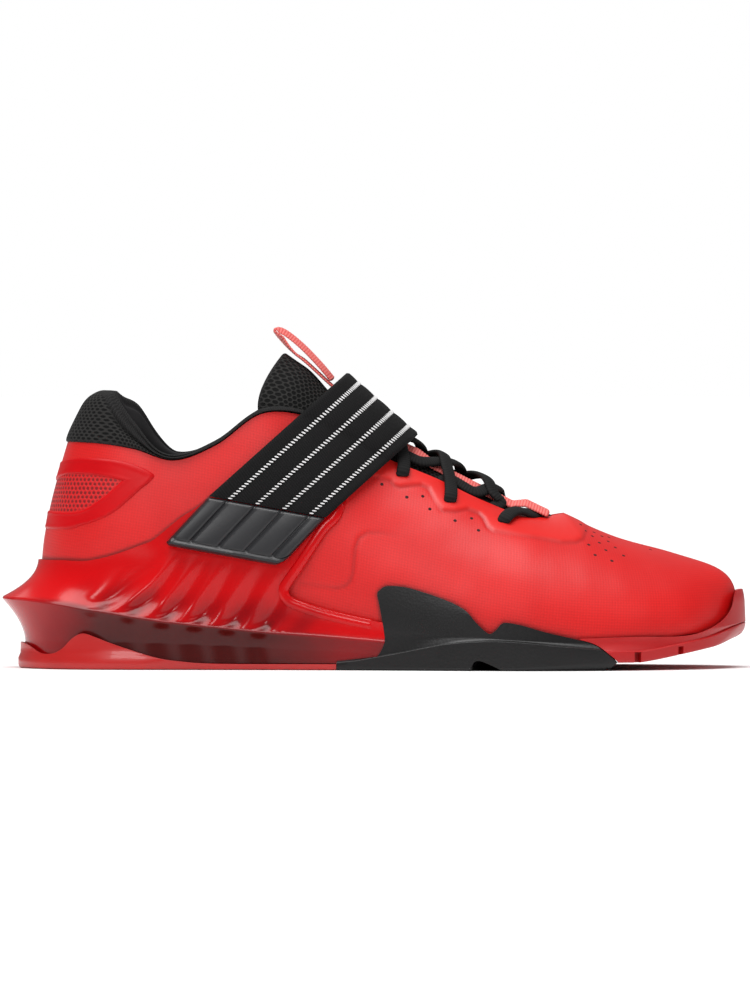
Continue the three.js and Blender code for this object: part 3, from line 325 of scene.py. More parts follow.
def throughKnots(knots, t):  # centripetal curve through points
    count = len(knots)
    place = (count - 1) * t
    i = min(int(place), count - 2)
    w = place - i
    p1, p2 = knots[i], knots[i + 1]
    p0 = knots[i - 1] if i > 0 else 2 * knots[0] - knots[1]
    p3 = knots[i + 2] if i + 2 < count else 2 * knots[-1] - knots[-2]
    d0, d1, d2 = [max((q - p).length_squared**0.25, 1e-4) for p, q in ((p0, p1), (p1, p2), (p2, p3))]
    t1 = ((p1 - p0) / d0 - (p2 - p0) / (d0 + d1) + (p2 - p1) / d1) * d1
    t2 = ((p2 - p1) / d1 - (p3 - p1) / (d1 + d2) + (p3 - p2) / d2) * d1
    return p1 + t1 * w + (-3 * p1 + 3 * p2 - 2 * t1 - t2) * w**2 + (2 * p1 - 2 * p2 + t1 + t2) * w**3


def throughPoints(points, t):  # plain curve through tuples
    count = len(points)
    place = (count - 1) * t
    i = min(int(place), count - 2)
    four = [points[int(clamp(i + k, 0, count - 1))] for k in (-1, 0, 1, 2)]
    return tuple(catmull(*values, place - i) for values in zip(*four))


def smoothOutline(points, perSpan):
    count = (len(points) - 1) * perSpan
    return [throughPoints(points, i / count) for i in range(count + 1)]


def lengthsAlong(points):
    lengths = [0.0]
    for a, b in zip(points, points[1:]):
        lengths.append(lengths[-1] + (b - a).length)
    return lengths


def spansAt(lengths, wanted):  # for each wanted length: its span, and its share along that span
    k = 0
    for want in wanted:
        while k < len(lengths) - 2 and lengths[k + 1] < want:
            k += 1
        yield k, (want - lengths[k]) / max(lengths[k + 1] - lengths[k], 1e-6)


def lineDistance(line, x, z):  # distance to a line in side view, and how far along it the nearest place is
    best, along = 1e9, 0.0
    for i, ((ax, az), (bx, bz)) in enumerate(zip(line, line[1:])):
        dx, dz = bx - ax, bz - az
        t = clamp(((x - ax) * dx + (z - az) * dz) / (dx * dx + dz * dz))
        d = math.hypot(x - ax - t * dx, z - az - t * dz)
        if d < best:
            best, along = d, (i + t) / (len(line) - 1)
    return best, along


print("last ready")

# Mesh work shared by all pieces


def clearSelection():
    bpy.ops.object.select_all(action="DESELECT")


def makeActive(piece):
    clearSelection()
    piece.select_set(True)
    bpy.context.view_layer.objects.active = piece


def gridSheet(name, stations, lines, place, layers=None):
    clearSelection()
    bpy.ops.mesh.primitive_grid_add(x_subdivisions=stations - 1, y_subdivisions=lines - 1, size=1)
    sheet = bpy.context.object
    sheet.name = sheet.data.name = name
    spots = [place(k % stations, k // stations) for k in range(stations * lines)]
    sheet.data.vertices.foreach_set("co", [c * mm for spot in spots for c in spot])
    for layer, valueAt in (layers or {}).items():
        values = [valueAt(k % stations, k // stations) for k in range(stations * lines)]
        sheet.data.attributes.new(layer, "FLOAT", "POINT").data.foreach_set("value", values)
    unroll(sheet, stations, lines, spots)
    return sheet


def unroll(sheet, stations, lines, spots):  # the cloth's own millimetres, measured along its middle lines
    row, column = lines // 2 * stations, stations // 2
    along = lengthsAlong(spots[row : row + stations])
    up = [lengthsAlong(spots[i::stations]) for i in range(stations)]
    flat = []
    for loop in sheet.data.loops:
        i, j = loop.vertex_index % stations, loop.vertex_index // stations
        flat += [along[i] - along[column], up[i][j]]
    sheet.data.uv_layers[0].data.foreach_set("uv", flat)


def mergeMesh(piece, fill=False):
    makeActive(piece)
    bpy.ops.object.mode_set(mode="EDIT")
    bpy.ops.mesh.select_all(action="SELECT")
    bpy.ops.mesh.remove_doubles(threshold=0.004 * mm)
    if fill:
        bpy.ops.mesh.fill_holes(sides=0)
    bpy.ops.mesh.normals_make_consistent(inside=False)
    bpy.ops.object.mode_set(mode="OBJECT")


def faceOutward(piece):  # an open sheet's most lateral face has to look to that side
    face = min(piece.data.polygons, key=lambda polygon: polygon.center.y)
    if face.normal.y > 0:
        piece.data.flip_normals()


def ringBody(name, stations, around, place, layers=None):  # a closed body through rings of points
    body = gridSheet(name, stations, around + 1, lambda i, j: place(i, j % around), layers)
    mergeMesh(body, fill=True)
    return body


def applied(piece, kind, **settings):
    makeActive(piece)
    modifier = piece.modifiers.new("step", kind)
    for key, value in settings.items():
        setattr(modifier, key, value)
    bpy.ops.object.modifier_apply(modifier=modifier.name)


softenSteps = 40


def softened(piece, layer):  # evens out a sheet where the named layer has a value
    group = piece.vertex_groups.new(name=layer)
    for vertex, value in zip(piece.data.vertices, piece.data.attributes[layer].data):
        group.add([vertex.index], value.value, "REPLACE")
    applied(piece, "SMOOTH", factor=0.5, iterations=softenSteps, vertex_group=layer)
    piece.vertex_groups.clear()


def cutBy(piece, cutter, operation="DIFFERENCE", keep=False):
    applied(piece, "BOOLEAN", operation=operation, object=cutter, solver="MANIFOLD")
    if not keep:
        bpy.data.objects.remove(cutter)


def sidePrism(outline, low=-110, high=110, slant=0):  # a block across the shoe with an outline in side view
    clearSelection()
    bpy.ops.mesh.primitive_circle_add(vertices=len(outline), radius=1, fill_type="NGON")
    prism = bpy.context.object
    for vertex, (x, z) in zip(prism.data.vertices, outline):
        vertex.co = Vector((x, low, z)) * mm
    bpy.ops.object.mode_set(mode="EDIT")
    bpy.ops.mesh.select_all(action="SELECT")
    bpy.ops.mesh.extrude_region_move(TRANSFORM_OT_translate={"value": (slant * mm, (high - low) * mm, 0)})
    bpy.ops.mesh.select_all(action="SELECT")
    bpy.ops.mesh.normals_make_consistent(inside=False)
    bpy.ops.mesh.quads_convert_to_tris()
    bpy.ops.object.mode_set(mode="OBJECT")
    return prism


def paint(piece, name, valueAt):  # a value at each vertex, from its place in mm
    values = [valueAt(vertex.co / mm) for vertex in piece.data.vertices]
    piece.data.attributes.new(name, "FLOAT", "POINT").data.foreach_set("value", values)


def dress(piece, look=None, nodes=(), angle=None, even=False):
    if look:
        piece.data.materials.clear()
        piece.data.materials.append(materials[look])
    makeActive(piece)
    if angle:
        bpy.ops.object.shade_smooth_by_angle(angle=math.radians(angle))
    else:
        bpy.ops.object.shade_smooth()
    if even:  # flat faces beside a cut stay flat
        applied(piece, "WEIGHTED_NORMAL", keep_sharp=True)
    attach(piece, "root")
    if nodes:
        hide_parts(*nodes)


def joined(name, pieces):
    clearSelection()
    for piece in pieces:
        piece.select_set(True)
    bpy.context.view_layer.objects.active = pieces[0]
    bpy.ops.object.join()
    pieces[0].name = pieces[0].data.name = name
    return pieces[0]


# Materials


def colour(red, green, blue):
    def linear(value):
        value /= 255
        return value / 12.92 if value <= 0.04045 else ((value + 0.055) / 1.055) ** 2.4

    return linear(red), linear(green), linear(blue), 1.0


def add(tree, kind, inputs=None, **settings):
    made = tree.nodes.new(kind)
    for key, value in settings.items():
        setattr(made, key, value)
    for socket, value in (inputs or {}).items():
        if isinstance(value, bpy.types.NodeSocket):
            tree.links.new(value, made.inputs[socket])
        else:
            made.inputs[socket].default_value = value
    return made


def feed(node, socket, value):
    node.id_data.links.new(value, node.inputs[socket])


def math2(tree, operation, a, b=0.0):
    return add(tree, "ShaderNodeMath", {0: a, 1: b}, operation=operation).outputs[0]


def times(tree, a, b):
    return math2(tree, "MULTIPLY", a, b)


def plus(tree, a, b):
    return math2(tree, "ADD", a, b)


def noiseAt(tree, place, scale, detail, output="Fac"):
    inputs = {"Vector": place, "Scale": scale, "Detail": detail}
    return add(tree, "ShaderNodeTexNoise", inputs).outputs[output]


def mixColour(tree, share, a, b, blend="MIX"):
    node = add(tree, "ShaderNodeMix", {0: share, 6: a, 7: b}, data_type="RGBA", blend_type=blend)
    return node.outputs[2]


def mapRange(tree, value, fromLow, fromHigh, toLow=0.0, toHigh=1.0):
    inputs = {0: value, 1: fromLow, 2: fromHigh, 3: toLow, 4: toHigh}
    return add(tree, "ShaderNodeMapRange", inputs, interpolation_type="SMOOTHSTEP").outputs[0]


def attribute(tree, name):
    return add(tree, "ShaderNodeAttribute", attribute_name=name).outputs["Fac"]


materials = {}  # by the names given here, since the frame's own can have the same ones


def newMaterial(name, **values):
    material = bpy.data.materials.new(name)
    materials[name] = material
    material.use_nodes = True
    tree = material.node_tree
    shader = tree.nodes["Principled BSDF"]
    for socket, value in values.items():
        shader.inputs[socket.replace("_", " ")].default_value = value
    return tree, shader


def groupNode(name, values, outputs):  # takes a place and named values
    tree = bpy.data.node_groups.new(name, "ShaderNodeTree")
    tree.interface.new_socket(name="Place", in_out="INPUT", socket_type="NodeSocketVector")
    for socket, value in values.items():
        made = tree.interface.new_socket(name=socket, in_out="INPUT", socket_type="NodeSocketFloat")
        made.default_value = value
    for socket in outputs:
        tree.interface.new_socket(name=socket, in_out="OUTPUT", socket_type="NodeSocketFloat")
    return tree, tree.nodes.new("NodeGroupInput").outputs, tree.nodes.new("NodeGroupOutput").inputs


def placeGroup(tree, group, **inputs):
    return add(tree, "ShaderNodeGroup", inputs, node_tree=group).outputs


def vectorMath(tree, operation, a, b=(0.0, 0.0, 0.0)):
    return add(tree, "ShaderNodeVectorMath", {0: a, 1: b}, operation=operation).outputs


# Fine grain: small cells with a softer unevenness over them
values = {"Cells": 1400.0, "Blend": 0.3}
grainGroup, given, put = groupNode("fineGrain", values, ["Height", "Patches"])
inputs = {"Vector": given["Place"], "Scale": given["Cells"]}
cells = add(grainGroup, "ShaderNodeTexVoronoi", inputs).outputs[0]
soft = noiseAt(grainGroup, given["Place"], 260.0, 3.0)
mixed = add(grainGroup, "ShaderNodeMix", {0: given["Blend"], 2: cells, 3: soft}).outputs[0]
grainGroup.links.new(mixed, put["Height"])
grainGroup.links.new(noiseAt(grainGroup, given["Place"], 32.0, 2.0), put["Patches"])

# Knitted mesh: round holes in offset rows, in the cloth's own millimetres
meshGroup, given, put = groupNode("knittedMesh", {"Pitch": 2.2, "Open": 0.3}, ["Height", "Holes"])
rowRatio = 1.732  # the rows' spacing, to the holes' own
rowPitch = times(meshGroup, given["Pitch"], rowRatio)
size = add(meshGroup, "ShaderNodeCombineXYZ", {0: given["Pitch"], 1: rowPitch})
wobble = noiseAt(meshGroup, given["Place"], 0.35, 2.0, "Color")
bent = vectorMath(meshGroup, "MULTIPLY_ADD", wobble, (0.5, 0.5, 0.0))[0]
meshGroup.links.new(given["Place"], bent.node.inputs[2])
spot = vectorMath(meshGroup, "DIVIDE", bent, size.outputs[0])[0]
near = []
for shift in (0.0, 0.5):
    moved = vectorMath(meshGroup, "ADD", spot, (shift, shift, 0.0))[0]
    inCell = vectorMath(meshGroup, "FRACTION", moved)[0]
    fromMiddle = vectorMath(meshGroup, "SUBTRACT", inCell, (0.5, 0.5, 0.0))[0]
    flat = vectorMath(meshGroup, "MULTIPLY", fromMiddle, (1.0, rowRatio, 0.0))[0]
    near.append(vectorMath(meshGroup, "LENGTH", flat)["Value"])
cells = math2(meshGroup, "MINIMUM", near[0], near[1])
edge = math2(meshGroup, "SUBTRACT", cells, given["Open"])
holes = mapRange(meshGroup, edge, 0.1, -0.1)
threads = noiseAt(meshGroup, given["Place"], 2.5, 1.0)
height = math2(meshGroup, "SUBTRACT", times(meshGroup, threads, 0.3), holes)
meshGroup.links.new(height, put["Height"])
meshGroup.links.new(holes, put["Holes"])

# Woven cloth: slanting rows of small raised threads, in the cloth's own millimetres
weaveGroup, given, put = groupNode("wovenCloth", {"Pitch": 0.85, "Turn": 0.8}, ["Height"])
wayInputs = {"Vector": given["Place"], "Angle": given["Turn"]}
turned = add(weaveGroup, "ShaderNodeVectorRotate", wayInputs, rotation_type="Z_AXIS")
apart = add(weaveGroup, "ShaderNodeSeparateXYZ", {0: turned.outputs[0]}).outputs
waves = []
for axis in (0, 1):
    share = math2(weaveGroup, "DIVIDE", times(weaveGroup, apart[axis], 6.283), given["Pitch"])
    waves.append(math2(weaveGroup, "SINE", share))
raised = plus(weaveGroup, times(weaveGroup, waves[0], waves[1]), 1.0)
weaveGroup.links.new(times(weaveGroup, raised, 0.5), put["Height"])


def clothPlace(tree):
    return add(tree, "ShaderNodeTexCoord").outputs["UV"]


def objectPlace(tree):
    return add(tree, "ShaderNodeTexCoord").outputs["Object"]


def grainOf(tree, cells, blend):
    return placeGroup(tree, grainGroup, Place=objectPlace(tree), Cells=cells, Blend=blend)


def ramp(tree, mask, low, high):
    return mapRange(tree, mask, 0.0, 1.0, low, high)


def withBump(tree, shader, height, strength, distance):
    node = add(tree, "ShaderNodeBump", {"Height": height, "Strength": strength, "Distance": distance * mm})
    feed(shader, "Normal", node.outputs[0])


def grained(name, base, cells, strength, darker, **values):
    tree, shader = newMaterial(name, **values)
    height, patches = grainOf(tree, cells, 0.3)
    deep = [c * (1 - darker) for c in base[:3]] + [1.0]
    feed(shader, "Base Color", mixColour(tree, mapRange(tree, patches, 0.3, 0.7), deep, base))
    rough = values["Roughness"]
    feed(shader, "Roughness", mapRange(tree, patches, 0.2, 0.8, rough * 0.88, rough * 1.12))
    withBump(tree, shader, height, strength, 0.12)


def ribbed(name, base, deep, **values):
    tree, shader = newMaterial(name, **values)
    height, patches = grainOf(tree, 1800.0, 0.15)
    # painted shade darkens the troughs between the ribs
    tone = mixColour(tree, attribute(tree, "groove"), base, deep)
    tone = mixColour(tree, mapRange(tree, patches, 0.35, 0.65, 0.0, 0.12), tone, deep)
    feed(shader, "Base Color", tone)
    withBump(tree, shader, height, 0.35, 0.1)


def strapMaterial():
    tree, shader = newMaterial("strapElastic", Roughness=0.8, Specular_IOR_Level=0.2)
    height = placeGroup(tree, weaveGroup, Place=clothPlace(tree), Pitch=1.0, Turn=0.35)["Height"]
    feed(shader, "Base Color", mixColour(tree, height, colour(3, 3, 3), colour(21, 20, 21)))
    withBump(tree, shader, height, 0.5, 0.2)


def upperMaterial():
    values = {"Coat_Weight": 0.35, "Coat_Roughness": 0.38, "Specular_IOR_Level": 0.3}
    tree, shader = newMaterial("thinWovenUpper", **values)
    cloth = clothPlace(tree)
    height, patches = grainOf(tree, 1500.0, 0.2)
    weave = placeGroup(tree, weaveGroup, Place=cloth, Pitch=1.7, Turn=0.9)["Height"]
    stay, window, groove, seamShade = [attribute(tree, name) for name in ("stay", "window", "groove", "seamShade")]
    meshHeight, holes = placeGroup(tree, meshGroup, Place=cloth, Pitch=2.1, Open=0.33)
    tone = mixColour(tree, mapRange(tree, patches, 0.3, 0.7), colour(210, 10, 10), colour(220, 16, 14))
    tone = mixColour(tree, times(tree, weave, 0.4), tone, colour(176, 4, 6))
    tone = mixColour(tree, stay, tone, colour(220, 24, 18))
    tone = mixColour(tree, window, tone, mixColour(tree, holes, colour(208, 18, 22), colour(126, 2, 6)))
    # painted shade in the grooves along the overlay's and the panel's edges
    tone = mixColour(tree, times(tree, groove, 0.45), tone, colour(130, 6, 8))
    # painted shade: a dark line on the wall along the clip's, the wrap's and the toe rubber's edges
    tone = mixColour(tree, times(tree, seamShade, 0.7), tone, colour(90, 4, 6))
    feed(shader, "Base Color", tone)
    feed(shader, "Roughness", ramp(tree, stay, 0.5, 0.4))
    fine = times(tree, plus(tree, height, weave), ramp(tree, stay, 0.35, 0.1))
    fine = times(tree, fine, ramp(tree, window, 1.0, 0.0))
    coarse = times(tree, meshHeight, times(tree, window, 1.8))
    withBump(tree, shader, plus(tree, fine, coarse), 0.5, 0.22)


def paddedMaterial(name, pitch, hollow, mesh):  # mesh on the outer panel, close knit on the rest
    tree, shader = newMaterial(name, Roughness=0.8, Specular_IOR_Level=0.2)
    place = clothPlace(tree)
    panel, inside = attribute(tree, "panel"), attribute(tree, "inside")
    height, holes = placeGroup(tree, meshGroup, Place=place, Pitch=pitch, Open=hollow)
    knit = placeGroup(tree, weaveGroup, Place=place, Pitch=1.0, Turn=0.6)["Height"]
    tone = mixColour(tree, knit, colour(8, 8, 8), colour(46, 45, 45))
    tone = mixColour(tree, panel, tone, mixColour(tree, holes, mesh, colour(2, 2, 2)))
    feed(shader, "Base Color", mixColour(tree, inside, tone, colour(42, 41, 42)))
    closeKnit = times(tree, knit, ramp(tree, panel, 0.6, 0.0))
    closeKnit = times(tree, closeKnit, ramp(tree, inside, 1.0, 0.0))
    withBump(tree, shader, plus(tree, closeKnit, times(tree, height, panel)), 0.8, 0.35)


def clipMaterial():
    tree, shader = newMaterial("mouldedClip", Roughness=0.2, Specular_IOR_Level=0.3)
    height, patches = grainOf(tree, 900.0, 0.7)
    # the painted shade of the dark layer, with random patches, takes the red towards a dark brown
    shadeAndMottle = plus(tree, attribute(tree, "dark"), mapRange(tree, patches, 0.3, 0.7, -0.08, 0.08))
    tone = mixColour(tree, mapRange(tree, shadeAndMottle, 0.0, 0.55), colour(200, 4, 10), colour(140, 2, 10))
    tone = mixColour(tree, mapRange(tree, shadeAndMottle, 0.45, 0.95), tone, colour(76, 14, 12))
    feed(shader, "Base Color", tone)
    withBump(tree, shader, height, 0.05, 0.1)


upperMaterial()
clipMaterial()
paddedMaterial("collarKnit", 1.6, 0.33, colour(42, 41, 40))
paddedMaterial("tongueMesh", 2.1, 0.38, colour(44, 43, 42))
strapMaterial()
ribbed("pinkWebbing", colour(242, 132, 124), colour(214, 76, 74), Roughness=0.75)
ribbed("lace", colour(24, 23, 23), colour(3, 3, 3), Roughness=0.8, Specular_IOR_Level=0.3)
# Name, colour, cells to a metre, strength of the grain, how much darker its patches are, and values
grainedRows = [
    ("blackLining", (52, 51, 52), 1100.0, 0.6, 0.12, {"Roughness": 0.9, "Specular_IOR_Level": 0.2}),
    ("counterFilm", (200, 2, 12), 1700.0, 0.05, 0.12, {"Roughness": 0.4, "Specular_IOR_Level": 0.2}),
    ("redRubber", (188, 26, 24), 1200.0, 0.08, 0.1, {"Roughness": 0.32, "Coat_Weight": 0.15}),
    ("toeRubber", (182, 14, 18), 1200.0, 0.1, 0.12, {"Roughness": 0.4}),
    ("blackRubber", (9, 8, 9), 1000.0, 0.4, 0.12, {"Roughness": 0.36, "Specular_IOR_Level": 0.4}),
    ("tabRubber", (30, 30, 33), 1500.0, 0.12, 0.12, {"Roughness": 0.36, "Specular_IOR_Level": 0.5}),
    ("whiteStitch", (232, 231, 231), 2500.0, 0.3, 0.12, {"Roughness": 0.7}),
    ("insoleCloth", (84, 82, 82), 1200.0, 0.5, 0.12, {"Roughness": 0.95}),
    ("pinhole", (50, 2, 4), 1200.0, 0.1, 0.12, {"Roughness": 0.9}),
]
for name, tone, cells, strength, darker, values in grainedRows:
    grained(name, colour(*tone), cells, strength, darker, **values)
print("materials ready")

# Heel clip's sizes along the shoe
clipRows = named(
    ["at", "ridge", "fin", "waist", "base", "edge"],
    [
        [0, 0.99, 1, 7, 9.8, 0.194],
        [0.03, 0.95, 0.8, 6, 9, 0.194],
        [0.08, 0.84, 0.62, 4.5, 8, 0.2],
        [0.16, 0.73, 0.53, 4, 7, 0.305],
        [0.2, 0.7, 0.485, 3.75, 6.5, 0.43],
        [0.24, 0.68, 0.44, 3.5, 6, 0.545],
        [0.32, 0.66, 0.37, 3, 5.5, 0.76],
        [0.38, 0.68, 0.31, 3, 5, 0.84],
        [0.46, 0.7, 0.25, 2.8, 4.5, 0.8],
        [0.56, 0.7, 0.22, 2.8, 4.5, 0.72],
    ],
)
# Edges of the black tread and the toe's rubber, in side view
wrapRows = [
    (0.424, -0.81), (0.474, -0.69), (0.482, -0.66), (0.4915, -0.36), (0.4915, -0.04),
    (0.4855, 0.11), (0.482, 0.175), (0.4855, 0.197), (0.495, 0.222), (0.5215, 0.23), (0.557, 0.209),
    (0.588, 0.18), (0.608, 0.146), (0.6225, 0.092), (0.637, 0.048), (0.644, 0.043), (0.651, 0.062),
    (0.662, 0.102), (0.687, 0.096), (0.722, 0.065), (0.765, 0.028), (0.793, -0.06), (0.815, -0.5),
    (0.824, -0.7),
]
blackNose = [(0.816, -0.87), (0.806, -0.95), (0.785, -1)]
flexNotch = [(0.615, -1), (0.6215, -0.7), (0.6348, -0.69), (0.664, -1)]
flexSlant = 36  # the groove runs as a chevron across the sole
flexShare = 0.513  # of the slant, passed where the groove meets the sole's edge
toeEdgeRows = [
    (1.02, 0.184), (0.998, 0.178), (0.991, 0.105), (0.983, 0.062), (0.967, 0.024), (0.94, -0.01),
    (0.905, -0.005), (0.85, 0.02), (0.77, 0.03),
]

# Upper: one thin wall, finer where its overlays show
upperSettings = {
    "levels": 78,
    "fineFrom": 6.6,
    "fineTo": 13.0,
    "fineSteps": 34,
    "coarseSteps": 12,
    "stayRise": 0.42,
    "grooveDepth": 0.32,
    "grooveHalf": 0.75,
    "seamShadeHalf": 0.8,
    "thickness": 2.2,
    "meet": 0.7505,  # both sides meet from here on
    "crest": (0.752, 0.79),
    "throatFront": (0.755, 10, 0.2),
}
# Lower edge of the eyelet overlay, in side view
stayLine = [
    (-12, 82), (0, 79), (6.5, 77.1), (8, 75.3), (10.4, 74.5), (15.7, 75.2), (19.1, 75.4),
    (22.2, 74.1), (25.5, 68), (27.6, 64.9), (32.8, 64.6), (38.1, 65.6), (42.7, 63.9), (44.6, 62),
    (46.2, 58.6), (48.6, 56.6), (58.8, 55), (67.4, 53.7), (76.3, 51.9), (82.4, 51.9), (85.3, 53.3),
    (87.2, 57), (87.6, 62),
]
stayStrength = [0, 0.2, 1, 1, 1, 1, 1, 0.8, 0.25, 0.8, 1, 1, 1, 1, 0.9, 0.5, 0.35, 0.6, 0.8, 1, 1, 0.6, 0]
midfootLine = [
    (-30.5, 35.4), (-22, 34), (-16.5, 33.4), (-12.5, 34), (-10, 36), (-8.8, 39.5), (-8.4, 44.4),
    (-7.9, 49.5), (-6.4, 53.8), (-3, 56), (3.4, 56), (12, 54),
]
midfootStrength = [0.4, 0.7, 0.9, 1, 1, 1, 0.9, 0.9, 0.9, 0.8, 0.5, 0]


def strengthAt(strengths, along):
    place = along * (len(strengths) - 1)
    i = min(int(place), len(strengths) - 2)
    return lerp(strengths[i], strengths[i + 1], place - i)


def aboveStay(x, z):  # 1 on the eyelet overlay, 0 under it
    if x < -12 or x > 94:
        return 0.0
    level = stayLine[-1][1]
    for (ax, az), (bx, bz) in zip(stayLine[:-2], stayLine[1:-1]):
        if ax <= x <= bx:
            level = lerp(az, bz, (x - ax) / (bx - ax))
    return smooth(z - level, -0.5, 0.5) * smooth(x, -12, 4) * (1 - smooth(x, 84, 88))


# the dent along the eyelet overlay's and the midfoot panel's edges, which the material also darkens as
# painted shade
def grooveAt(x, z):
    if not -32 < x < 90 or not 30 < z < 85:
        return 0.0
    total = 0.0
    for line, strengths in ((stayLine, stayStrength), (midfootLine, midfootStrength)):
        d, along = lineDistance(line, x, z)
        total += strengthAt(strengths, along) * math.exp(-((d / upperSettings["grooveHalf"]) ** 2))
    return min(total, 1.0)


def seamShadeAt(p):  # a painted shadow line where the clip, the wrap and the toe's rubber lie on the wall
    at, half = shareAt(p.x), upperSettings["seamShadeHalf"]
    total = 0.0
    if at < 0.47:
        edge = levelAt(at, tableAt(clipRows, "edge", at))
        total = math.exp(-(((p.z - edge - 0.5) / half) ** 2)) * (1 - smooth(at, 0.4, 0.46))
    elif p.z < 45:
        for rows in (wrapRows, toeEdgeRows):
            d = lineDistance(onSide(rows), p.x, p.z)[0]
            total = max(total, math.exp(-((d / half) ** 2)))
    return total


def upperRelief(side, u, h):
    p = profile(side, u, h)
    soft = 0.16 * noise.noise(p * 0.045) + 0.1 * noise.noise(p * 0.11)
    rise = upperSettings["stayRise"] * aboveStay(p.x, p.z)
    return soft * smooth(h, 0, 0.15) + rise - upperSettings["grooveDepth"] * grooveAt(p.x, p.z)


def upperStations():
    s = upperSettings
    fineCount = int((s["fineTo"] - s["fineFrom"]) * s["fineSteps"])
    fine = [s["fineFrom"] + i / s["fineSteps"] for i in range(fineCount + 1)]
    low = [i / s["coarseSteps"] for i in range(int(s["fineFrom"] * s["coarseSteps"]) + 1)]
    count = int((lastRow - fine[-1]) * 16)
    high = [lerp(fine[-1], lastRow, (i + 1) / count) for i in range(count)]
    return [u for u in low if u < fine[0] - 0.02] + fine + high


def buildUpper():
    us = upperStations()
    loop = [(lateral, u) for u in us] + [(medial, u) for u in reversed(us[1:-1])] + [(lateral, 0.0)]
    s, levels = upperSettings, upperSettings["levels"]
    meetX = alongX(s["meet"])

    def crestAt(i, j):  # where the wall is smoothed: along the crest, and less round the throat's front
        side, u = loop[i]
        x, h = profile(side, u, 1).x, j / (levels - 1)
        toes = smooth(h, 0.86, 1) * smooth(x, *[alongX(at) for at in s["crest"]])
        edge = 1 - smooth(h, 0.9, 0.98) if x < meetX else 1
        at, half, most = s["throatFront"]
        return max(toes, most * bump(x, alongX(at), half) * smooth(h, 0.4, 0.6) * edge)

    def place(i, j):
        side, u = loop[i]
        h = j / (levels - 1)
        crest = (profile(lateral, u, 1) + profile(medial, u, 1)) / 2
        if j == levels - 1 and crest.x > meetX:
            relief = (upperRelief(lateral, u, 1) + upperRelief(medial, u, 1)) / 2
            return crest + Vector((0, 0, relief))
        return skin(side, u, h, upperRelief(side, u, h))

    def seen(valueAt):
        return lambda i, j: valueAt(profile(*loop[i], j / (levels - 1)))

    layers = {
        "stay": seen(lambda p: aboveStay(p.x, p.z)),
        "groove": seen(lambda p: grooveAt(p.x, p.z)),
        "window": seen(windowMask),
        "seamShade": seen(seamShadeAt),
        "crest": crestAt,
    }
    upper = gridSheet("upperWall", len(loop), levels, place, layers)
    mergeMesh(upper)
    faceOutward(upper)
    softened(upper, "crest")
    for look in ("thinWovenUpper", "blackLining"):
        upper.data.materials.append(materials[look])
    wall = {"thickness": s["thickness"] * mm, "offset": -1, "use_even_offset": False, "material_offset": 1}
    applied(upper, "SOLIDIFY", **wall)
    dress(upper, None, ["upper"], angle=50)


# Heel counter: a raised ring round a window of mesh, outer and inner edge in side view
counterSettings = {"relief": 0.75, "bead": 0.2, "sunk": 0.25, "perSide": 60, "steps": 14, "topSpots": 6}
counterOuter = [
    (None, 0.7), (0.06, 0.722), (0.104, 0.716), (0.128, 0.703), (0.147, 0.68), (0.16, 0.658),
    (0.1645, 0.637), (0.156, 0.6), (0.147, 0.575), (0.127, 0.506), (0.104, 0.436), (0.08, 0.393),
    (0.06, 0.37), (0.041, 0.348), (None, 0.348),
]
counterInner = [
    (None, 0.594), (0.0236, 0.61), (0.0355, 0.63), (0.06, 0.632), (0.089, 0.623), (0.1145, 0.607),
    (0.1145, 0.603), (0.1093, 0.584), (0.095, 0.536), (0.0803, 0.497), (0.0645, 0.46),
    (0.0425, 0.441), (0.0127, 0.449), (None, 0.449),
]


@lru_cache(maxsize=None)
def counterEdges(side):
    edges = []
    for rows in (counterOuter, counterInner):
        spots = []
        for at, up in rows:
            if at is None:
                spots.append((0.0, levelAt(0.01, up)))
            else:
                x, z = alongX(at), levelAt(at, up)
                spots.append((rowAt(side, x, z), z))
        edges.append(spots)
    return edges


def windowMask(p):
    if p.x > -100 or not 55 < p.z < 82:
        return 0.0
    side = lateral if p.y < axisY else medial
    u = rowAt(side, p.x, p.z)
    inner, count = counterEdges(side)[1], counterSettings["topSpots"]
    top, low = inner[:count], inner[count:][::-1]

    def levelOf(spots):
        for (au, az), (bu, bz) in zip(spots, spots[1:]):
            if au <= u <= bu:
                return lerp(az, bz, (u - au) / max(bu - au, 1e-6))
        return None

    high, base = levelOf(top), levelOf(low)
    if high is None or base is None:
        return 0.0
    return smooth(high - p.z, -0.6, 0.4) * smooth(p.z - base, -0.6, 0.4)


def buildCounter():
    s = counterSettings
    perSide = s["perSide"]
    loop = [(lateral, i / perSide) for i in range(perSide + 1)]
    loop += [(medial, 1 - i / perSide) for i in range(1, perSide + 1)]

    def place(i, j):
        side, t = loop[i]
        outer, inner = [throughPoints(edge, t) for edge in counterEdges(side)]
        w = j / (s["steps"] - 1)
        u, z = [lerp(a, b, w) for a, b in zip(outer, inner)]
        rim = min(w, 1 - w)
        lift = s["relief"] * smooth(rim, -0.02, 0.1) + s["bead"] * bump(rim, 0.16, 0.1) - s["sunk"]
        u = max(u, 0.0)
        return skin(side, u, heightShare(side, u, z), lift)

    ring = gridSheet("counterRing", len(loop), s["steps"], place)
    mergeMesh(ring)
    faceOutward(ring)
    applied(ring, "SOLIDIFY", thickness=0.5 * mm, offset=-1, use_even_offset=False)
    applied(ring, "SUBSURF", levels=1, render_levels=1)
    dress(ring, "counterFilm", ["heel_counter"])


buildUpper()
print("upper built")
buildCounter()
print("heel counter built")

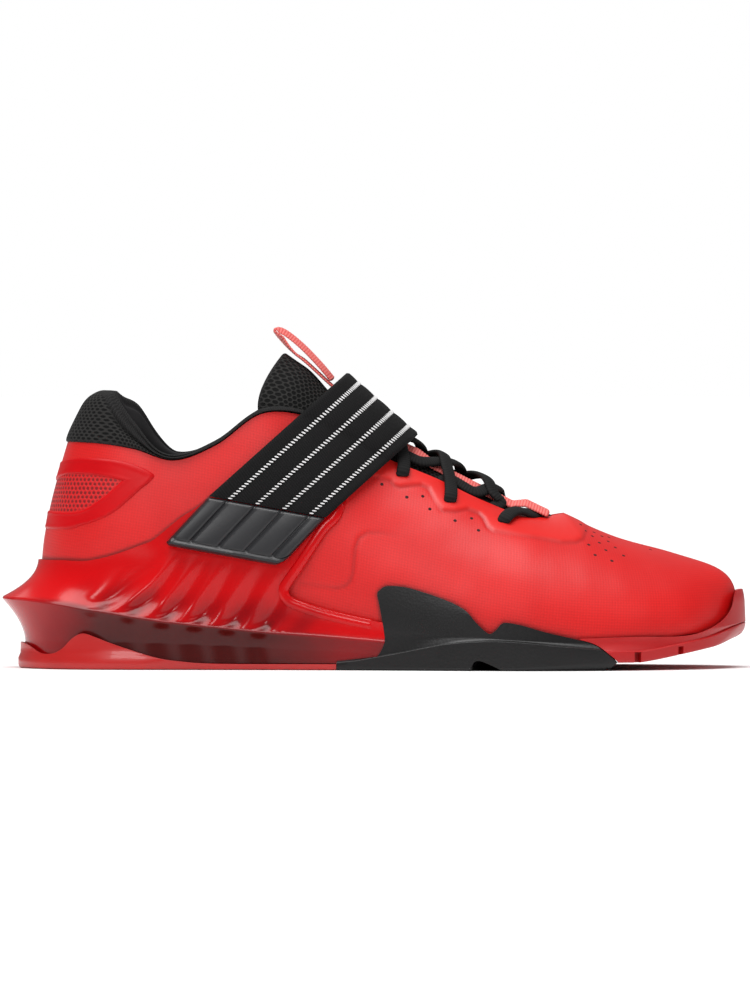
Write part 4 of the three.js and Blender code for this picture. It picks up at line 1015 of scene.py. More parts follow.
# Collar: a padded cuff with sewn folds, thinning to the binding of the topline
collarRows = named(
    ["at", "lateral", "medial", "lean", "pad", "fold"],
    [
        [0, 20.4, 20.4, 12.6, 5.8, 3.4],
        [1, 20.8, 20.8, 11, 5.8, 3.1],
        [2, 20.4, 20.4, 6.5, 5.8, 2.1],
        [2.5, 16.6, 18.6, 4.5, 6, 1.35],
        [3, 10.2, 16.8, 3, 5.2, 0.95],
        [3.5, 3.8, 8.6, 1.6, 3.6, 0.7],
        [4, 2.3, 2.5, 0.8, 2.2, 0.6],
        [5, 2.3, 2.3, 0.6, 1.4, 0.6],
        [7.6, 2.3, 2.3, 0.5, 1.2, 0.6],
    ],
)
collarSettings = {
    "end": 7.0,
    "steps": 14,
    "around": 72,
    "proud": 0.8,
    "lining": 1.3,
    "foldDepth": 2.1,
    "folds": [(0, 0.28, 1), (0.95, 0.28, 0.4)],  # place, half width and share of the depth
    "puffs": [(-0.5, 0.5, 0.25), (0.48, 0.46, 0.5), (1.45, 0.5, 0.4)],
    "rimFold": (4.6, 0.4, 0.8),
}


def collarRing(side, u):
    def get(key):
        return tableAt(collarRows, key, u)

    s = collarSettings
    cap, lean, pad = get("lateral" if side == lateral else "medial"), get("lean"), get("pad")
    rim = skin(side, u, 1)
    out = Vector((rim.x - alongX(0.17), rim.y - axisY, 0)).normalized()
    out = out.lerp(outwardAt(side, u), smooth(u, 1.5, 3)).normalized()
    inner = -last["wall"] - last["gap"] - 0.2
    proud = s["proud"]

    def spot(o, z):
        return rim + out * o + Vector((0, 0, z))

    return [
        skin(side, u, 1, proud) + Vector((0, 0, 0.35)),
        spot(proud + 0.6 - 0.29 * lean, 0.42 * cap),
        spot(proud - 0.6 * lean, 0.82 * cap),
        spot(-0.9 * lean - 0.2 * pad, cap),
        spot(-lean - 0.62 * pad, 0.97 * cap),
        spot(-lean - 0.98 * pad, 0.78 * cap),
        spot(-0.55 * lean - last["wall"] - pad, 0.3 * cap),
        skin(side, u, 5 / 6, inner - pad * 0.8),
        skin(side, u, 4 / 6, inner - s["lining"]),
        skin(side, u, 4 / 6, inner),
        skin(side, u, 5 / 6, inner),
        skin(side, u, 1, inner) + Vector((0, 0, 0.35)),
    ]


def flatRound(j, wide):  # going round a flat piece: the share across it, and whether this is its underside
    under = j > wide
    return (2 * wide + 1 - j if under else j) / wide, under


def rounded(t):
    return math.sqrt(1 - (1 - t) ** 2)


def closedThrough(points, t):
    count = len(points)
    place = t * count
    i = int(place)
    return catmull(*[points[(i + k) % count] for k in (-1, 0, 1, 2)], place - i)


def buildCollar():
    s = collarSettings
    half = [i / s["steps"] for i in range(int(s["end"] * s["steps"]) + 1)]
    loop = [(lateral, u) for u in reversed(half[1:])] + [(medial, u) for u in half]
    around = s["around"]

    @lru_cache(maxsize=None)
    def ring(i):
        side, u = loop[i]
        return collarRing(side, u), tableAt(collarRows, "fold", u), u

    def place(i, j):
        points, fold, u = ring(i)
        t = j / around
        point = closedThrough(points, t)
        middle = (points[2] + points[6]) / 2
        away = (point - middle).normalized()
        soft = 0.25 * noise.noise(point * 0.09)
        depth = s["foldDepth"] * smooth(u, 1.7, 2.7) * (1 - smooth(u, 3.6, 5))
        past = t * 12 - fold
        folds = sum(deep * bump(past, at, half) ** 1.5 for at, half, deep in s["folds"])
        at, half, deep = s["rimFold"]
        folds += deep * bump(t * 12, at, half) ** 1.5
        puff = sum(high * bump(past, at, half) for at, half, high in s["puffs"])
        return point + away * (soft + depth * (puff - folds))

    def panelAt(i, j):
        t, fold = 12 * j / around, ring(i)[1]
        return 1 - smooth(t, fold - 0.1, fold + 0.1) * (1 - smooth(t, 11.4, 11.6))

    def insideAt(i, j):
        return smooth(12 * j / around, 4.0, 4.6)

    collar = ringBody("paddedCollar", len(loop), around, place, {"panel": panelAt, "inside": insideAt})
    applied(collar, "SUBSURF", levels=1, render_levels=1)
    dress(collar, "collarKnit", ["collar"])


# Tongue
tongueRows = named(
    ["at", "top", "half", "drop", "thick"],
    [
        [0.786, 0.52, 17, 9, 2.6],
        [0.723, 0.63, 19.5, 12.5, 3],
        [0.653, 0.742, 23, 18.5, 3.4],
        [0.576, 0.855, 25.5, 20.5, 4],
        [0.499, 0.982, 26, 22, 4.2],
        [0.429, 1.13, 24, 22, 4.6],
        [0.38, 1.25, 22, 25, 5],
        [0.3455, 1.321, 20.5, 31.5, 4.2],
    ],
)
tongueSettings = {
    "arc": 1.22,
    "corner": 0.75,
    "beyond": 0.13,
    "endRound": 0.22,
    "thinning": 0.45,
    "quilt": 0.35,
    "pad": 2.0,
    "stations": 96,
    "across": 26,
}
tongueEnd = len(tongueRows) - 1


def tongueMiddle(s):
    at = rowShare(tongueRows, "at", s)
    return Vector((alongX(at), axisY, levelAt(at, rowShare(tongueRows, "top", s))))


def tongueFace(s, across):
    arc = tongueSettings["arc"]
    angle = across * arc
    ahead = (tongueMiddle(s + smallStep) - tongueMiddle(s - smallStep)).normalized()
    normal = Vector((ahead.z, 0, -ahead.x))
    if normal.z < 0:
        normal.negate()
    fall = rowShare(tongueRows, "drop", s) * (1 - math.cos(angle)) / (1 - math.cos(arc))
    point = tongueMiddle(s) - normal * fall
    point.y += rowShare(tongueRows, "half", s) * math.sin(angle) / math.sin(arc)
    return point


def tongueNormal(s, across):
    along = tongueFace(s + smallStep, across) - tongueFace(s - smallStep, across)
    over = tongueFace(s, across + smallStep) - tongueFace(s, across - smallStep)
    return over.cross(along).normalized()


def tonguePoint(s, across, lift):
    return tongueFace(s, across) + tongueNormal(s, across) * lift


def buildTongue():
    st = tongueSettings
    count, wide = st["stations"], st["across"]
    around = 2 * wide + 2

    def place(i, j):
        s = (tongueEnd + st["beyond"]) * i / (count - 1)
        w, under = flatRound(j, wide)
        across = 2 * w - 1
        station = s - st["corner"] * (s / tongueEnd) ** 5 * across**4
        end = clamp((tongueEnd + st["beyond"] - s) / st["endRound"]) ** 0.5
        edge = (1 - across**8) ** 0.5 if abs(across) < 1 else 0.0
        thick = rowShare(tongueRows, "thick", s) * (1 - st["thinning"] * across**4)
        middle = -thick / 2
        half = thick / 2 * max(end, 0.15) * max(edge, 0.3)
        quilt = st["quilt"] * noise.noise(tongueFace(s, across) * 0.08) + st["pad"] * smooth(s, 5.0, 6.2)
        lift = middle - half if under else middle + half + quilt * edge
        return tonguePoint(station, across * (0.97 if under else 1), lift)

    def panelAt(i, j):
        w, under = flatRound(j % around, wide)
        s = (tongueEnd + st["beyond"]) * i / (count - 1)
        front = 1 - smooth(s, tongueEnd - 0.12, tongueEnd + 0.05)
        return 0.0 if under else (1 - smooth(abs(2 * w - 1), 0.88, 1)) * front

    def insideAt(i, j):
        return float(j % around > wide)

    tongue = ringBody("paddedTongue", count, around, place, {"panel": panelAt, "inside": insideAt})
    applied(tongue, "SUBSURF", levels=1, render_levels=1)
    dress(tongue, "tongueMesh", ["tongue"])


buildCollar()
buildTongue()
print("collar and tongue built")


# Bands: webbing and laces are flat ovals along a path, with ribs across
def ribbedBand(name, places, width, thickness, around, ribPitch, ribDepth, power=1.0, arch=0.0):
    lengths = lengthsAlong([spot[0] for spot in places])

    # how far into a trough between ribs: the band is sunk there, and its material paints shade there
    def groove(i, j=0):
        return 0.5 - 0.5 * math.cos(2 * math.pi * lengths[i] / ribPitch)

    def place(i, j):
        point, normal, across, wide = places[i]
        angle = 2 * math.pi * j / around
        c, s = math.cos(angle), math.sin(angle)
        c, s = math.copysign(abs(c) ** power, c), math.copysign(abs(s) ** power, s)
        depth = ribDepth * groove(i)
        ends = clamp(min(lengths[i], lengths[-1] - lengths[i]) / (thickness * 0.6))
        size = math.sqrt(max(0.12, 1 - (1 - ends) ** 2))
        x = c * (width * wide / 2 - depth) * size
        y = s * (thickness / 2 - depth) * size - arch * c**2
        return point + across * x + normal * y

    return ringBody(name, len(places), around, place, {"groove": groove})


def placesThrough(knots, step, widthAt=None):
    points, normals = [k[0] for k in knots], [k[1] for k in knots]
    spans, near = 200, 0.002
    lengths = lengthsAlong([throughKnots(points, i / spans) for i in range(spans + 1)])
    count = max(8, int(lengths[-1] / step))
    places = []
    for k, share in spansAt(lengths, [lengths[-1] * i / count for i in range(count + 1)]):
        t = (k + clamp(share)) / spans
        ahead = throughKnots(points, min(t + near, 1)) - throughKnots(points, max(t - near, 0))
        ahead.normalize()
        out = Vector(throughPoints([tuple(n) for n in normals], t))
        normal = (out - ahead * out.dot(ahead)).normalized()
        wide = widthAt(t) if widthAt else 1.0
        places.append((throughKnots(points, t), normal, ahead.cross(normal).normalized(), wide))
    return places


# Laces
laceSettings = {"width": 5.4, "thickness": 2.3, "lift": 1.6, "bar": 1.16, "pitch": 1.15}
eyeletRows = named(
    ["at", "top", "s", "edge"],
    [
        [0.661, 0.605, 1.95, 0.44],
        [0.5855, 0.685, 2.9, 0.48],
        [0.5173, 0.793, 3.74, 0.49],
        [0.455, 0.895, 4.6, 0.62],
    ],
)


@lru_cache(maxsize=None)
def eyeletOn(side, pair):
    row = eyeletRows[pair]
    return findOnSide(side, alongX(row["at"]), levelAt(row["at"], row["top"]))


def onUpper(side, u, h, lift):
    return skin(side, u, h, lift), normalAt(side, u, h)


def onTongue(s, across, lift):
    return tonguePoint(s, across, lift), tongueNormal(s, across)


def outOfEyelet(side, pair, forwards, far):  # knots of a lace that comes up through an eyelet
    u, h = eyeletOn(side, pair)
    lift = laceSettings["lift"]
    hole = skin(side, u, h, -3.2) - Vector((0, 0, 0.6))
    return [
        (hole, normalAt(side, u, h) - Vector((0, 0, 1.2))),
        onUpper(side, u + forwards * 0.08, lerp(h, 1, 0.12), lift),
        onUpper(side, u + forwards * far, lerp(h, 1, 0.85), lift + 0.6),
    ]


def underEdge(side, pair):  # knots of a lace that goes in between the tongue and the upper
    row, lift = eyeletRows[pair], laceSettings["lift"]
    return [
        onTongue(row["s"] - 0.06, side * (row["edge"] - 0.02), lift + 0.8),
        onTongue(row["s"] + 0.03, side * (row["edge"] + 0.16), lift - 0.7),
    ]


def laceBand(name, knots, atEyelet=(True, False)):  # the lace narrows where it goes into an eyelet
    s = laceSettings

    def widthAt(t):
        start = 1 - smooth(t, 0, 0.11) if atEyelet[0] else 0
        end = smooth(t, 0.89, 1) if atEyelet[1] else 0
        return 1.04 - 0.42 * max(start, end)

    places = placesThrough(knots, 0.3, widthAt)
    return ribbedBand(name, places, s["width"], s["thickness"], 16, s["pitch"], 0.18, 0.75)


# The spots of each crossing's two strands between its eyelets: tongue station, share across towards
# the lateral side, and height over the tongue
crossings = [
    {
        lateral: [(2.07, 0.36, 3.7), (2.24, 0.2, 5.0), (2.42, -0.02, 4.2), (2.62, -0.26, 2.8)],
        medial: [(1.96, -0.25, 2.4), (2.05, 0.02, 2.9), (2.17, 0.26, 3.0), (2.36, 0.46, 2.5)],
    },
    {
        lateral: [(2.99, 0.3, 4.9), (3.08, 0.12, 5.2), (3.16, -0.05, 4.4), (3.34, -0.3, 3.0)],
        medial: [(2.7, -0.26, 3.6), (2.84, 0.0, 4.3), (3.07, 0.2, 3.1), (3.36, 0.42, 2.8)],
    },
    {
        lateral: [(3.84, 0.3, 4.6), (3.96, 0.1, 4.9), (4.06, -0.05, 4.4), (4.24, -0.3, 3.0)],
        medial: [(3.42, -0.3, 3.8), (3.6, 0.0, 4.2), (3.92, 0.2, 3.1), (4.2, 0.42, 2.8)],
    },
]


def laceStrand(side, pair, spots):  # from one pair of eyelets to under the opposite edge at the next
    knots = outOfEyelet(side, pair, 0.03, 0.7) if pair else underEdge(side, pair)[::-1]
    knots += [onTongue(s, -across, lift) for s, across, lift in spots]
    return laceBand("strand", knots + underEdge(-side, pair + 1), (pair > 0, False))


def buildLaces():
    for pair, strands in enumerate(crossings):
        number = str(pair + 1)
        pieces = [laceStrand(side, pair, spots) for side, spots in strands.items()]
        dress(joined("laceCrossing" + number, pieces), "lace", ["lace_cross_" + number])
    lift, bar = laceSettings["lift"], laceSettings["bar"]
    near = outOfEyelet(lateral, 0, 0.5, 0.7)
    near += [onTongue(bar + 0.12, -0.4, lift + 1.0), onTongue(bar, -0.14, lift + 0.2)]
    far = outOfEyelet(medial, 0, 0.5, 1.9)
    far += [onTongue(bar - 0.26, 0.32, lift + 1.2), onTongue(bar - 0.14, 0.12, lift + 0.3)]
    front = laceBand("laceFrontBar", near + far[::-1], (True, True))
    dress(front, "lace", ["lace_bar"])


# Webbing: along the tongue and in the pull loop
webbingSettings = {
    "width": 9.4,
    "loopWidth": 10.4,
    "thickness": 1.3,
    "pitch": 1.25,
    "depth": 0.14,
    "around": 16,
    "power": 0.45,
    "front": 0.98,  # stations of the tongue
    "rear": 5.1,
    "stitch": 1.62,
    "aside": 0.22,
}
loopRows = [
    (0.4375, 1.149), (0.427, 1.173), (0.405, 1.233), (0.38, 1.303), (0.356, 1.362), (0.34, 1.415),
    (0.3345, 1.447), (0.342, 1.458), (0.356, 1.438), (0.377, 1.385), (0.401, 1.308),
    (0.4195, 1.238),
]


def webbingRise(s):  # it passes over the lace's front stretch
    bar = laceSettings["bar"]
    near = clamp(1 - max((bar - s) / 0.36, (s - bar) / 0.55))
    return 0.3 + 3.2 * smooth(near, 0, 0.5) + 1.2 * bump(s, 3.5, 0.35)


def webbingBand(name, places, width, node, arch=0.0):
    w = webbingSettings
    sizes = [width, w["thickness"], w["around"], w["pitch"], w["depth"], w["power"], arch]
    dress(ribbedBand(name, places, *sizes), "pinkWebbing", [node])


def buildWebbing():
    w = webbingSettings
    places, count = [], 330
    for i in range(count + 1):
        s = lerp(w["front"], w["rear"], i / count)
        low = webbingRise(s) + 0.4 * math.exp(-(((s - w["stitch"]) / 0.06) ** 2)) + w["thickness"] / 2
        aside = -w["aside"] * (1 - smooth(s, 3.5, 4.9))
        ahead = (tonguePoint(s + 0.01, aside, low) - tonguePoint(s - 0.01, aside, low)).normalized()
        normal = tongueNormal(s, aside)
        pinch = 1 - 0.16 * math.exp(-(((s - w["stitch"]) / 0.07) ** 2))
        places.append((tonguePoint(s, aside, low), normal, ahead.cross(normal), pinch))
    webbingBand("tongueWebbing", places, w["width"], "tongue_webbing", 0.55)
    side = [Vector((x, axisY, z)) for x, z in onSide(loopRows)]
    places, count = [], 240
    for i in range(count + 1):
        t = i / count
        before, point, after = [Vector(throughPoints(side, clamp(t + d))) for d in (-0.003, 0, 0.003)]
        ahead = (after - before).normalized()
        flat = Vector((-ahead.z, 0, ahead.x))
        front = smooth(t, 0.54, 0.66)
        turn = 0.19 * front + 0.2 * bump(t, 0.43, 0.14) - 0.05 * (1 - front)
        normal = Quaternion(ahead, turn) @ flat
        point -= flat * (abs(math.sin(turn)) * w["loopWidth"] / 2 - 0.5 * front)
        places.append((point, normal, ahead.cross(normal), 1.0))
    webbingBand("pullLoop", places, w["loopWidth"], "pull_loop")


buildLaces()
buildWebbing()
print("laces and webbing built")

# Strap over the instep with four ladder stitches, and its rubber tab
strapSettings = {
    "rear": (0.4393, 1.285),
    "front": (0.5415, 1.017),
    "way": (-0.745, -0.667),
    "tabWay": (-0.68, -0.733),
    "archRear": 25,
    "archFront": 15,
    "endRear": 76,
    "endFront": 51,
    "medialRear": 66,
    "medialFront": 42,
    "thickness": 1.6,
    "lift": 3.5,
    "low": 2.4,
    "across": 40,
    "rim": 0.025,
    "swell": 0.08,
    "swells": 4.3,
    "dip": 0.28,
    "dipHalf": 0.03,
    "stitches": (0.17, 0.405, 0.635, 0.865),
    "rungPitch": 1.5,
    "rungWidth": 1.75,
    "rungLength": 0.68,
    "rungHeight": 0.5,
    "rungBevel": 0.28,
    "up": (0.646, 0.763),
    "bow": 0.94,
}


def strapSpot(across, down):
    s = strapSettings
    (ax, az), (bx, bz) = onSide([s["rear"], s["front"]])
    straight = min(down, lerp(s["endRear"], s["endFront"], across))
    rest = down - straight
    x = lerp(ax, bx, across) + s["way"][0] * straight + s["tabWay"][0] * rest
    z = lerp(az, bz, across) + s["way"][1] * straight + s["tabWay"][1] * rest
    return x, z


def strapOnUpper(side, across, down, lift):
    u, h = findOnSide(side, *strapSpot(across, down))
    point, normal = skin(side, u, h), normalAt(side, u, h)
    point.y += side * lift / abs(normal.y)
    return point


@lru_cache(maxsize=None)
def archFoot(side, across, lift):
    reach = lerp(strapSettings["archRear"], strapSettings["archFront"], across)
    return abs(strapOnUpper(side, across, reach, lift).y - axisY)


def strapArch(side, across, share, lift):
    s = strapSettings
    reach = lerp(s["archRear"], s["archFront"], across)
    angle = share * math.pi / 2
    bent, whole = angle * s["bow"], math.pi / 2 * s["bow"]
    wide = archFoot(side, round(across, 4), round(lift, 4))
    x, z = strapSpot(across, reach * (1 - math.cos(bent)) / (1 - math.cos(whole)))
    up = (lift - s["lift"] - s["thickness"]) * math.cos(angle)
    y = axisY + side * wide * math.sin(bent) / math.sin(whole)
    return Vector((x + up * s["up"][0], y, z + up * s["up"][1]))


def strapPoint(side, across, share, extra):
    s = strapSettings
    if share <= 1:
        return strapArch(side, across, share, s["lift"] + extra)
    ends = (s["endRear"], s["endFront"]) if side == lateral else (s["medialRear"], s["medialFront"])
    reach = lerp(s["archRear"], s["archFront"], across)
    end = lerp(*ends, across)
    t = share - 1
    return strapOnUpper(side, across, lerp(reach, end, t), lerp(s["lift"], s["low"], t) + extra)


def buildStrap():
    s = strapSettings
    shares = [i / 36 for i in range(73)]
    loop = [(lateral, share) for share in reversed(shares[1:])] + [(medial, share) for share in shares]
    wide, thick = s["across"], s["thickness"]

    def place(i, j):
        w, under = flatRound(j, wide)
        half = thick / 2 * max(rounded(clamp(min(w, 1 - w) / s["rim"])), 0.25)
        line = min(abs(w - stitch) for stitch in s["stitches"])
        dip = s["dip"] * math.exp(-((line / s["dipHalf"]) ** 2))
        swell = s["swell"] * math.cos((w - 0.05) * 2 * math.pi * s["swells"])
        side, share = loop[i]
        return strapPoint(side, w, share, thick / 2 + (-half if under else half + swell - dip))

    strap = ringBody("elasticStrap", len(loop), 2 * wide + 2, place)
    dress(strap, "strapElastic", ["strap"], angle=60)
    buildRungs(loop)


def buildRungs(loop):  # the ladder stitches: small bars across each stitched line
    s, rungs = strapSettings, []
    for w in s["stitches"]:
        path = [strapPoint(side, w, share, s["thickness"]) for side, share in loop]
        nearby = [strapPoint(side, w + 0.02, share, s["thickness"]) for side, share in loop]
        lengths = lengthsAlong(path)
        wanted = [(n + 0.6) * s["rungPitch"] for n in range(int(lengths[-1] / s["rungPitch"]))]
        for k, t in spansAt(lengths, wanted):
            here = path[k].lerp(path[k + 1], t)
            ahead = (path[k + 1] - path[k]).normalized()
            across = (nearby[k].lerp(nearby[k + 1], t) - here).normalized()
            up = across.cross(ahead).normalized()
            if up.dot(Vector((0, here.y - axisY, 12))) < 0:
                up.negate()
            rungs.append((here, ahead, across, up))
    clearSelection()
    bpy.ops.mesh.primitive_cube_add(size=1)
    rung = bpy.context.object
    applied(rung, "BEVEL", width=s["rungBevel"], segments=1, limit_method="NONE")
    shape = [v.co.copy() for v in rung.data.vertices]
    copies = []
    for here, ahead, across, up in rungs:
        copy = rung.copy()
        copy.data = rung.data.copy()
        bpy.context.collection.objects.link(copy)
        for vertex, base in zip(copy.data.vertices, shape):
            local = ahead * base.x * s["rungLength"] + across * base.y * s["rungWidth"]
            local += up * (base.z * s["rungHeight"] - 0.02)
            vertex.co = (here + local) * mm
        copies.append(copy)
    bpy.data.objects.remove(rung)
    ladder = joined("ladderStitches", copies)
    dress(ladder, "whiteStitch", angle=40)


tabSettings = {
    "length": 27,
    "cornerRear": 25.3,
    "cornerFront": 22.8,
    "thickness": 3.2,
    "groove": 0.75,
    "grooveHalf": 0.018,
    "grooves": (0.17, 0.41, 0.64, 0.87),
    "panelRise": 0.45,
    "sideRim": 0.035,
    "endRim": 0.045,
    "start": 0.3,
    "lift": 3.4,
    "lip": 1.2,
}


def buildTab():
    s, strap = tabSettings, strapSettings
    wide, stations = 96, 46

    def place(i, j):
        t = i / (stations - 1)
        w, under = flatRound(j, wide)
        shape = rounded(clamp(min(w, 1 - w) / s["sideRim"])) * rounded(clamp(min(t, 1 - t) / s["endRim"]))
        lip = s["lip"] * smooth(t, 0.87, 0.91) * (1 - 0.35 * smooth(t, 0.95, 1))
        plain = 1 - smooth(t, 0.84, 0.88)
        hollow = sum(bump(w, g, s["grooveHalf"]) ** 0.6 for g in s["grooves"]) * s["groove"] * plain
        panel = 0.0
        for a, b in zip((0,) + s["grooves"], s["grooves"] + (1,)):
            if a <= w <= b:
                panel = s["panelRise"] * math.sin(math.pi * (w - a) / (b - a)) ** 0.5 * plain
        start = lerp(strap["endRear"], strap["endFront"], w)
        corner = s["cornerRear"] if w < 0.5 else s["cornerFront"]
        length = lerp(s["length"], corner, (1 - clamp(min(w, 1 - w) / 0.06)) ** 2)
        lift = lerp(strap["low"], s["lift"], t)
        height = (s["thickness"] - 0.35 + lip + panel - hollow) * max(shape, 0.3)
        down = start + lerp(s["start"], length, t)
        return strapOnUpper(lateral, w, down, lift + (0.0 if under else height))

    tab = ringBody("strapTab", stations, 2 * wide + 2, place)
    dress(tab, "tabRubber", ["strap_tab"], angle=50)


buildStrap()
buildTab()
print("strap built")

# Heel clip: midsole, fin and side wing in one
clipSettings = {
    "ribFirst": 0.0825,
    "ribCount": 6,
    "ribLean": 0.9,
    "ribRise": 0.33,
    "ribMouth": 3.5,
    "waistShare": 0.38,
    "finEdge": 0.7,
    "curlUp": 2.2,
    "curlDown": 1.8,
    "stepsUp": 22,
    "stepsDown": 9,
    "front": 0.4925,
}
clipFloor = last["outsole"] + last["gap"]
windowRows = [
    (0.46, 1.2), (0.437, 0.62), (0.408, 0.45), (0.38, 0.28), (0.361, 0.17), (0.356, 0.13),
    (0.361, 0.098), (0.377, 0.08), (0.409, 0.058), (0.452, 0.042), (0.494, 0.035), (0.6, 0.03),
]


def ridgeAt(at):
    return tableAt(clipRows, "ridge", at) * footbedAt(at)


def fluteAt(run, over, ridge):  # depth of the flutes
    s = clipSettings
    pitch = last["ribPitch"]
    inside = smooth(run, -0.8 * pitch, 0)
    end = 1 - smooth(run, (s["ribCount"] - 1) * pitch, (s["ribCount"] - 0.2) * pitch)
    wave = 0.5 + 0.5 * math.cos(2 * math.pi * run / pitch)
    near = clamp(abs(over) / s["ribMouth"])
    reach = s["ribRise"] * last["height"] if over > 0 else 0.9 * ridge
    fade = clamp(1 - abs(over) / reach) * (1 if over > 0 else 0.55)
    return last["ribDepth"] * wave * inside * end * near * fade


def leaning(side, u, over):  # the row a flute has reached so far over the ridge
    s = clipSettings
    pitch = last["ribPitch"]
    run = footAt(side, u).x - alongX(s["ribFirst"])
    start = smooth(run, -1.2 * pitch, 0.5 * pitch)
    end = 1 - smooth(run, (s["ribCount"] - 1) * pitch, (s["ribCount"] + 1.5) * pitch)
    reach = clamp(over if over > 0 else 0.25 * over, -3, s["ribRise"] * last["height"])
    ahead = footAt(side, u + 0.5).x - footAt(side, max(u - 0.5, 0)).x
    perRow = ahead / min(1, u + 0.5)
    return u + s["ribLean"] * reach * start * end / max(perRow, 1)


def clipColumn(side, u):  # the clip's outside from its floor to its upper edge
    s = clipSettings
    x = footAt(side, u).x

    def spot(over):
        row = leaning(side, u, over)
        at = shareOf(side, row)
        return row, at, lambda key: tableAt(clipRows, key, at)

    finRow, finAt, get = spot(0)
    ridge = get("ridge") * footbedAt(finAt)
    waist = get("waist")
    fin = get("fin") * last["heelFin"]
    waistZ = max(s["waistShare"] * footbedAt(finAt), clipFloor + 1)
    run = x - alongX(s["ribFirst"])
    points = [wallPoint(side, finRow, clipFloor, waist)]
    for k in range(s["stepsDown"]):
        share = 1 - k / s["stepsDown"]
        z = lerp(ridge - s["finEdge"], waistZ, share)
        row, at, here = spot(z - ridge)
        reach = here("fin") * last["heelFin"] - waist
        out = waist + reach * (1 - share) ** s["curlDown"] - fluteAt(run, z - ridge, ridge)
        points.append(wallPoint(side, row, z, out))
    for share, more in ((-1, -0.1), (-0.4, 0.25), (0.4, 0.25), (1, -0.1)):
        points.append(wallPoint(side, finRow, ridge + share * s["finEdge"], fin + more))
    for k in range(1, s["stepsUp"] + 1):
        share = (k / s["stepsUp"]) ** 1.4
        row, at, here = spot(lerp(s["finEdge"], s["ribRise"] * last["height"] * 1.5, share))
        top = levelAt(at, here("edge"))
        z = lerp(ridge + s["finEdge"], top, share)
        reach = here("fin") * last["heelFin"] - last["clipEdge"]
        out = last["clipEdge"] + reach * (1 - share) ** s["curlUp"] - fluteAt(run, z - ridge, ridge)
        points.append(wallPoint(side, row, z, out))
    return points


def bodyBetween(name, stations, column):
    rings = [column(lateral, u) + column(medial, u)[::-1] for u in stations]
    return ringBody(name, len(rings), len(rings[0]), lambda i, j: rings[i][j])


def stationsBetween(low, high, steps):
    count = round((high - low) * steps)
    return [lerp(low, high, i / count) for i in range(count + 1)]


def lastBody(offset):  # the space of the foot, cut from what lies round it
    levels = 16

    def column(side, u):
        points = [skin(side, u, j / levels, offset) for j in range(levels + 1)]
        points[0].z -= offset
        return points

    return bodyBetween("lastForm", stationsBetween(0.02, lastRow - 0.02, 6), column)


# Edges of the heel's tread, in side view
heelRimRows = [
    (-0.04, -0.62), (-0.02, -0.66), (0, -0.775), (0.018, -0.775), (0.032, -0.7), (0.046, -0.56),
    (0.061, -0.49), (0.079, -0.54), (0.108, -0.645), (0.162, -0.81), (0.2, -0.87), (0.256, -0.9),
    (0.4225, -0.87),
]
blackStart = 0.4245
treadRows = named(
    ["at", "lateral", "medial", "footbed", "top"],
    [
        [0.38, 4.6, 4, 3.6, 2.6],
        [0.49, 4.9, 4, 3.6, 2.6],
        [0.6, 5.8, 4.1, 3.7, 2.6],
        [0.7, last["outrigger"], last["medialReach"], 3.8, 2.6],
        [0.8, last["outrigger"], last["medialReach"], 3.9, 2.6],
        [0.9, 5, 4, 3.9, 2.6],
        [0.97, 4, 3.8, 3.8, 2.9],
        [1, last["toeRubber"], last["toeRubber"], last["toeRubber"], 3.2],
    ],
)


def blackOutline(grow):
    top = smoothOutline(onSide(wrapRows), 5)
    nose = onSide(blackNose)
    if grow:
        top = [(x + grow, z + grow) for x, z in top]
        nose = [(top[-1][0] + grow, -5)]
        return top + nose + [(alongX(blackStart) - grow, -5)]
    return top + nose + [(alongX(0.785), -5), (alongX(blackStart), -5)]


def darkAt(p):  # how deep the painted shade is: under the ridge and in the flutes' mouths, with a fainter darkening above them
    at = shareAt(p.x - 0.5 * clamp(p.z - ridgeAt(shareAt(p.x)), -8, 8))
    over = p.z - ridgeAt(at)
    run = p.x - clipSettings["ribLean"] * over - alongX(clipSettings["ribFirst"])
    wave = 0.5 + 0.5 * math.cos(2 * math.pi * run / last["ribPitch"])
    below = (1 - smooth(over, -1.2, 2.2)) * lerp(0.35, 1, smooth(p.x, -142, -100))
    below *= 1 - 0.4 * smooth(p.x, -60, 0)
    mouths = smooth(run, -8, 2) * (1 - smooth(p.x, -45, -20)) * (1 - smooth(over, 2, 8)) * smooth(over, -2, 1)
    faint = 0.45 * (1 - smooth(over, 5, 19)) * smooth(p.x, -135, -100) * (1 - smooth(p.x, -40, -5))
    return clamp(max(below, 0.75 * wave**1.2 * mouths, faint * (0.6 + 0.4 * wave)))


def clipFace(side, x, z):  # a place on the clip's outside above its ridge
    u = findOnSide(side, x, z)[0]
    at = shareOf(side, u)
    low = ridgeAt(at) + clipSettings["finEdge"]
    share = clamp((z - low) / (levelAt(at, tableAt(clipRows, "edge", at)) - low))
    reach = tableAt(clipRows, "fin", at) * last["heelFin"] - last["clipEdge"]
    return wallPoint(side, u, z, last["clipEdge"] + reach * (1 - share) ** clipSettings["curlUp"])


def clipLip(side):  # the rounded edge of the wing round its window
    front = alongX(clipSettings["front"]) + 3
    outline = [(x, z) for x, z in smoothOutline(onSide(windowRows), 4) if x < front]
    points = []
    for (ax, az), (x, z), (bx, bz) in zip(outline, outline[1:], outline[2:]):
        way = Vector((bz - az, ax - bx)).normalized()
        if z < 69:
            sunk = 0.3 + 0.5 * smooth(x, -30, -2)
            points.append(clipFace(side, x + way.x * 1.6, z + way.y * 1.6) - Vector((0, side * sunk, 0)))
    knots = [(point, Vector((0, side, 0.15))) for point in points]
    return ribbedBand("lip", placesThrough(knots, 0.7), 4.2, 1.9, 14, 1.0, 0.0)


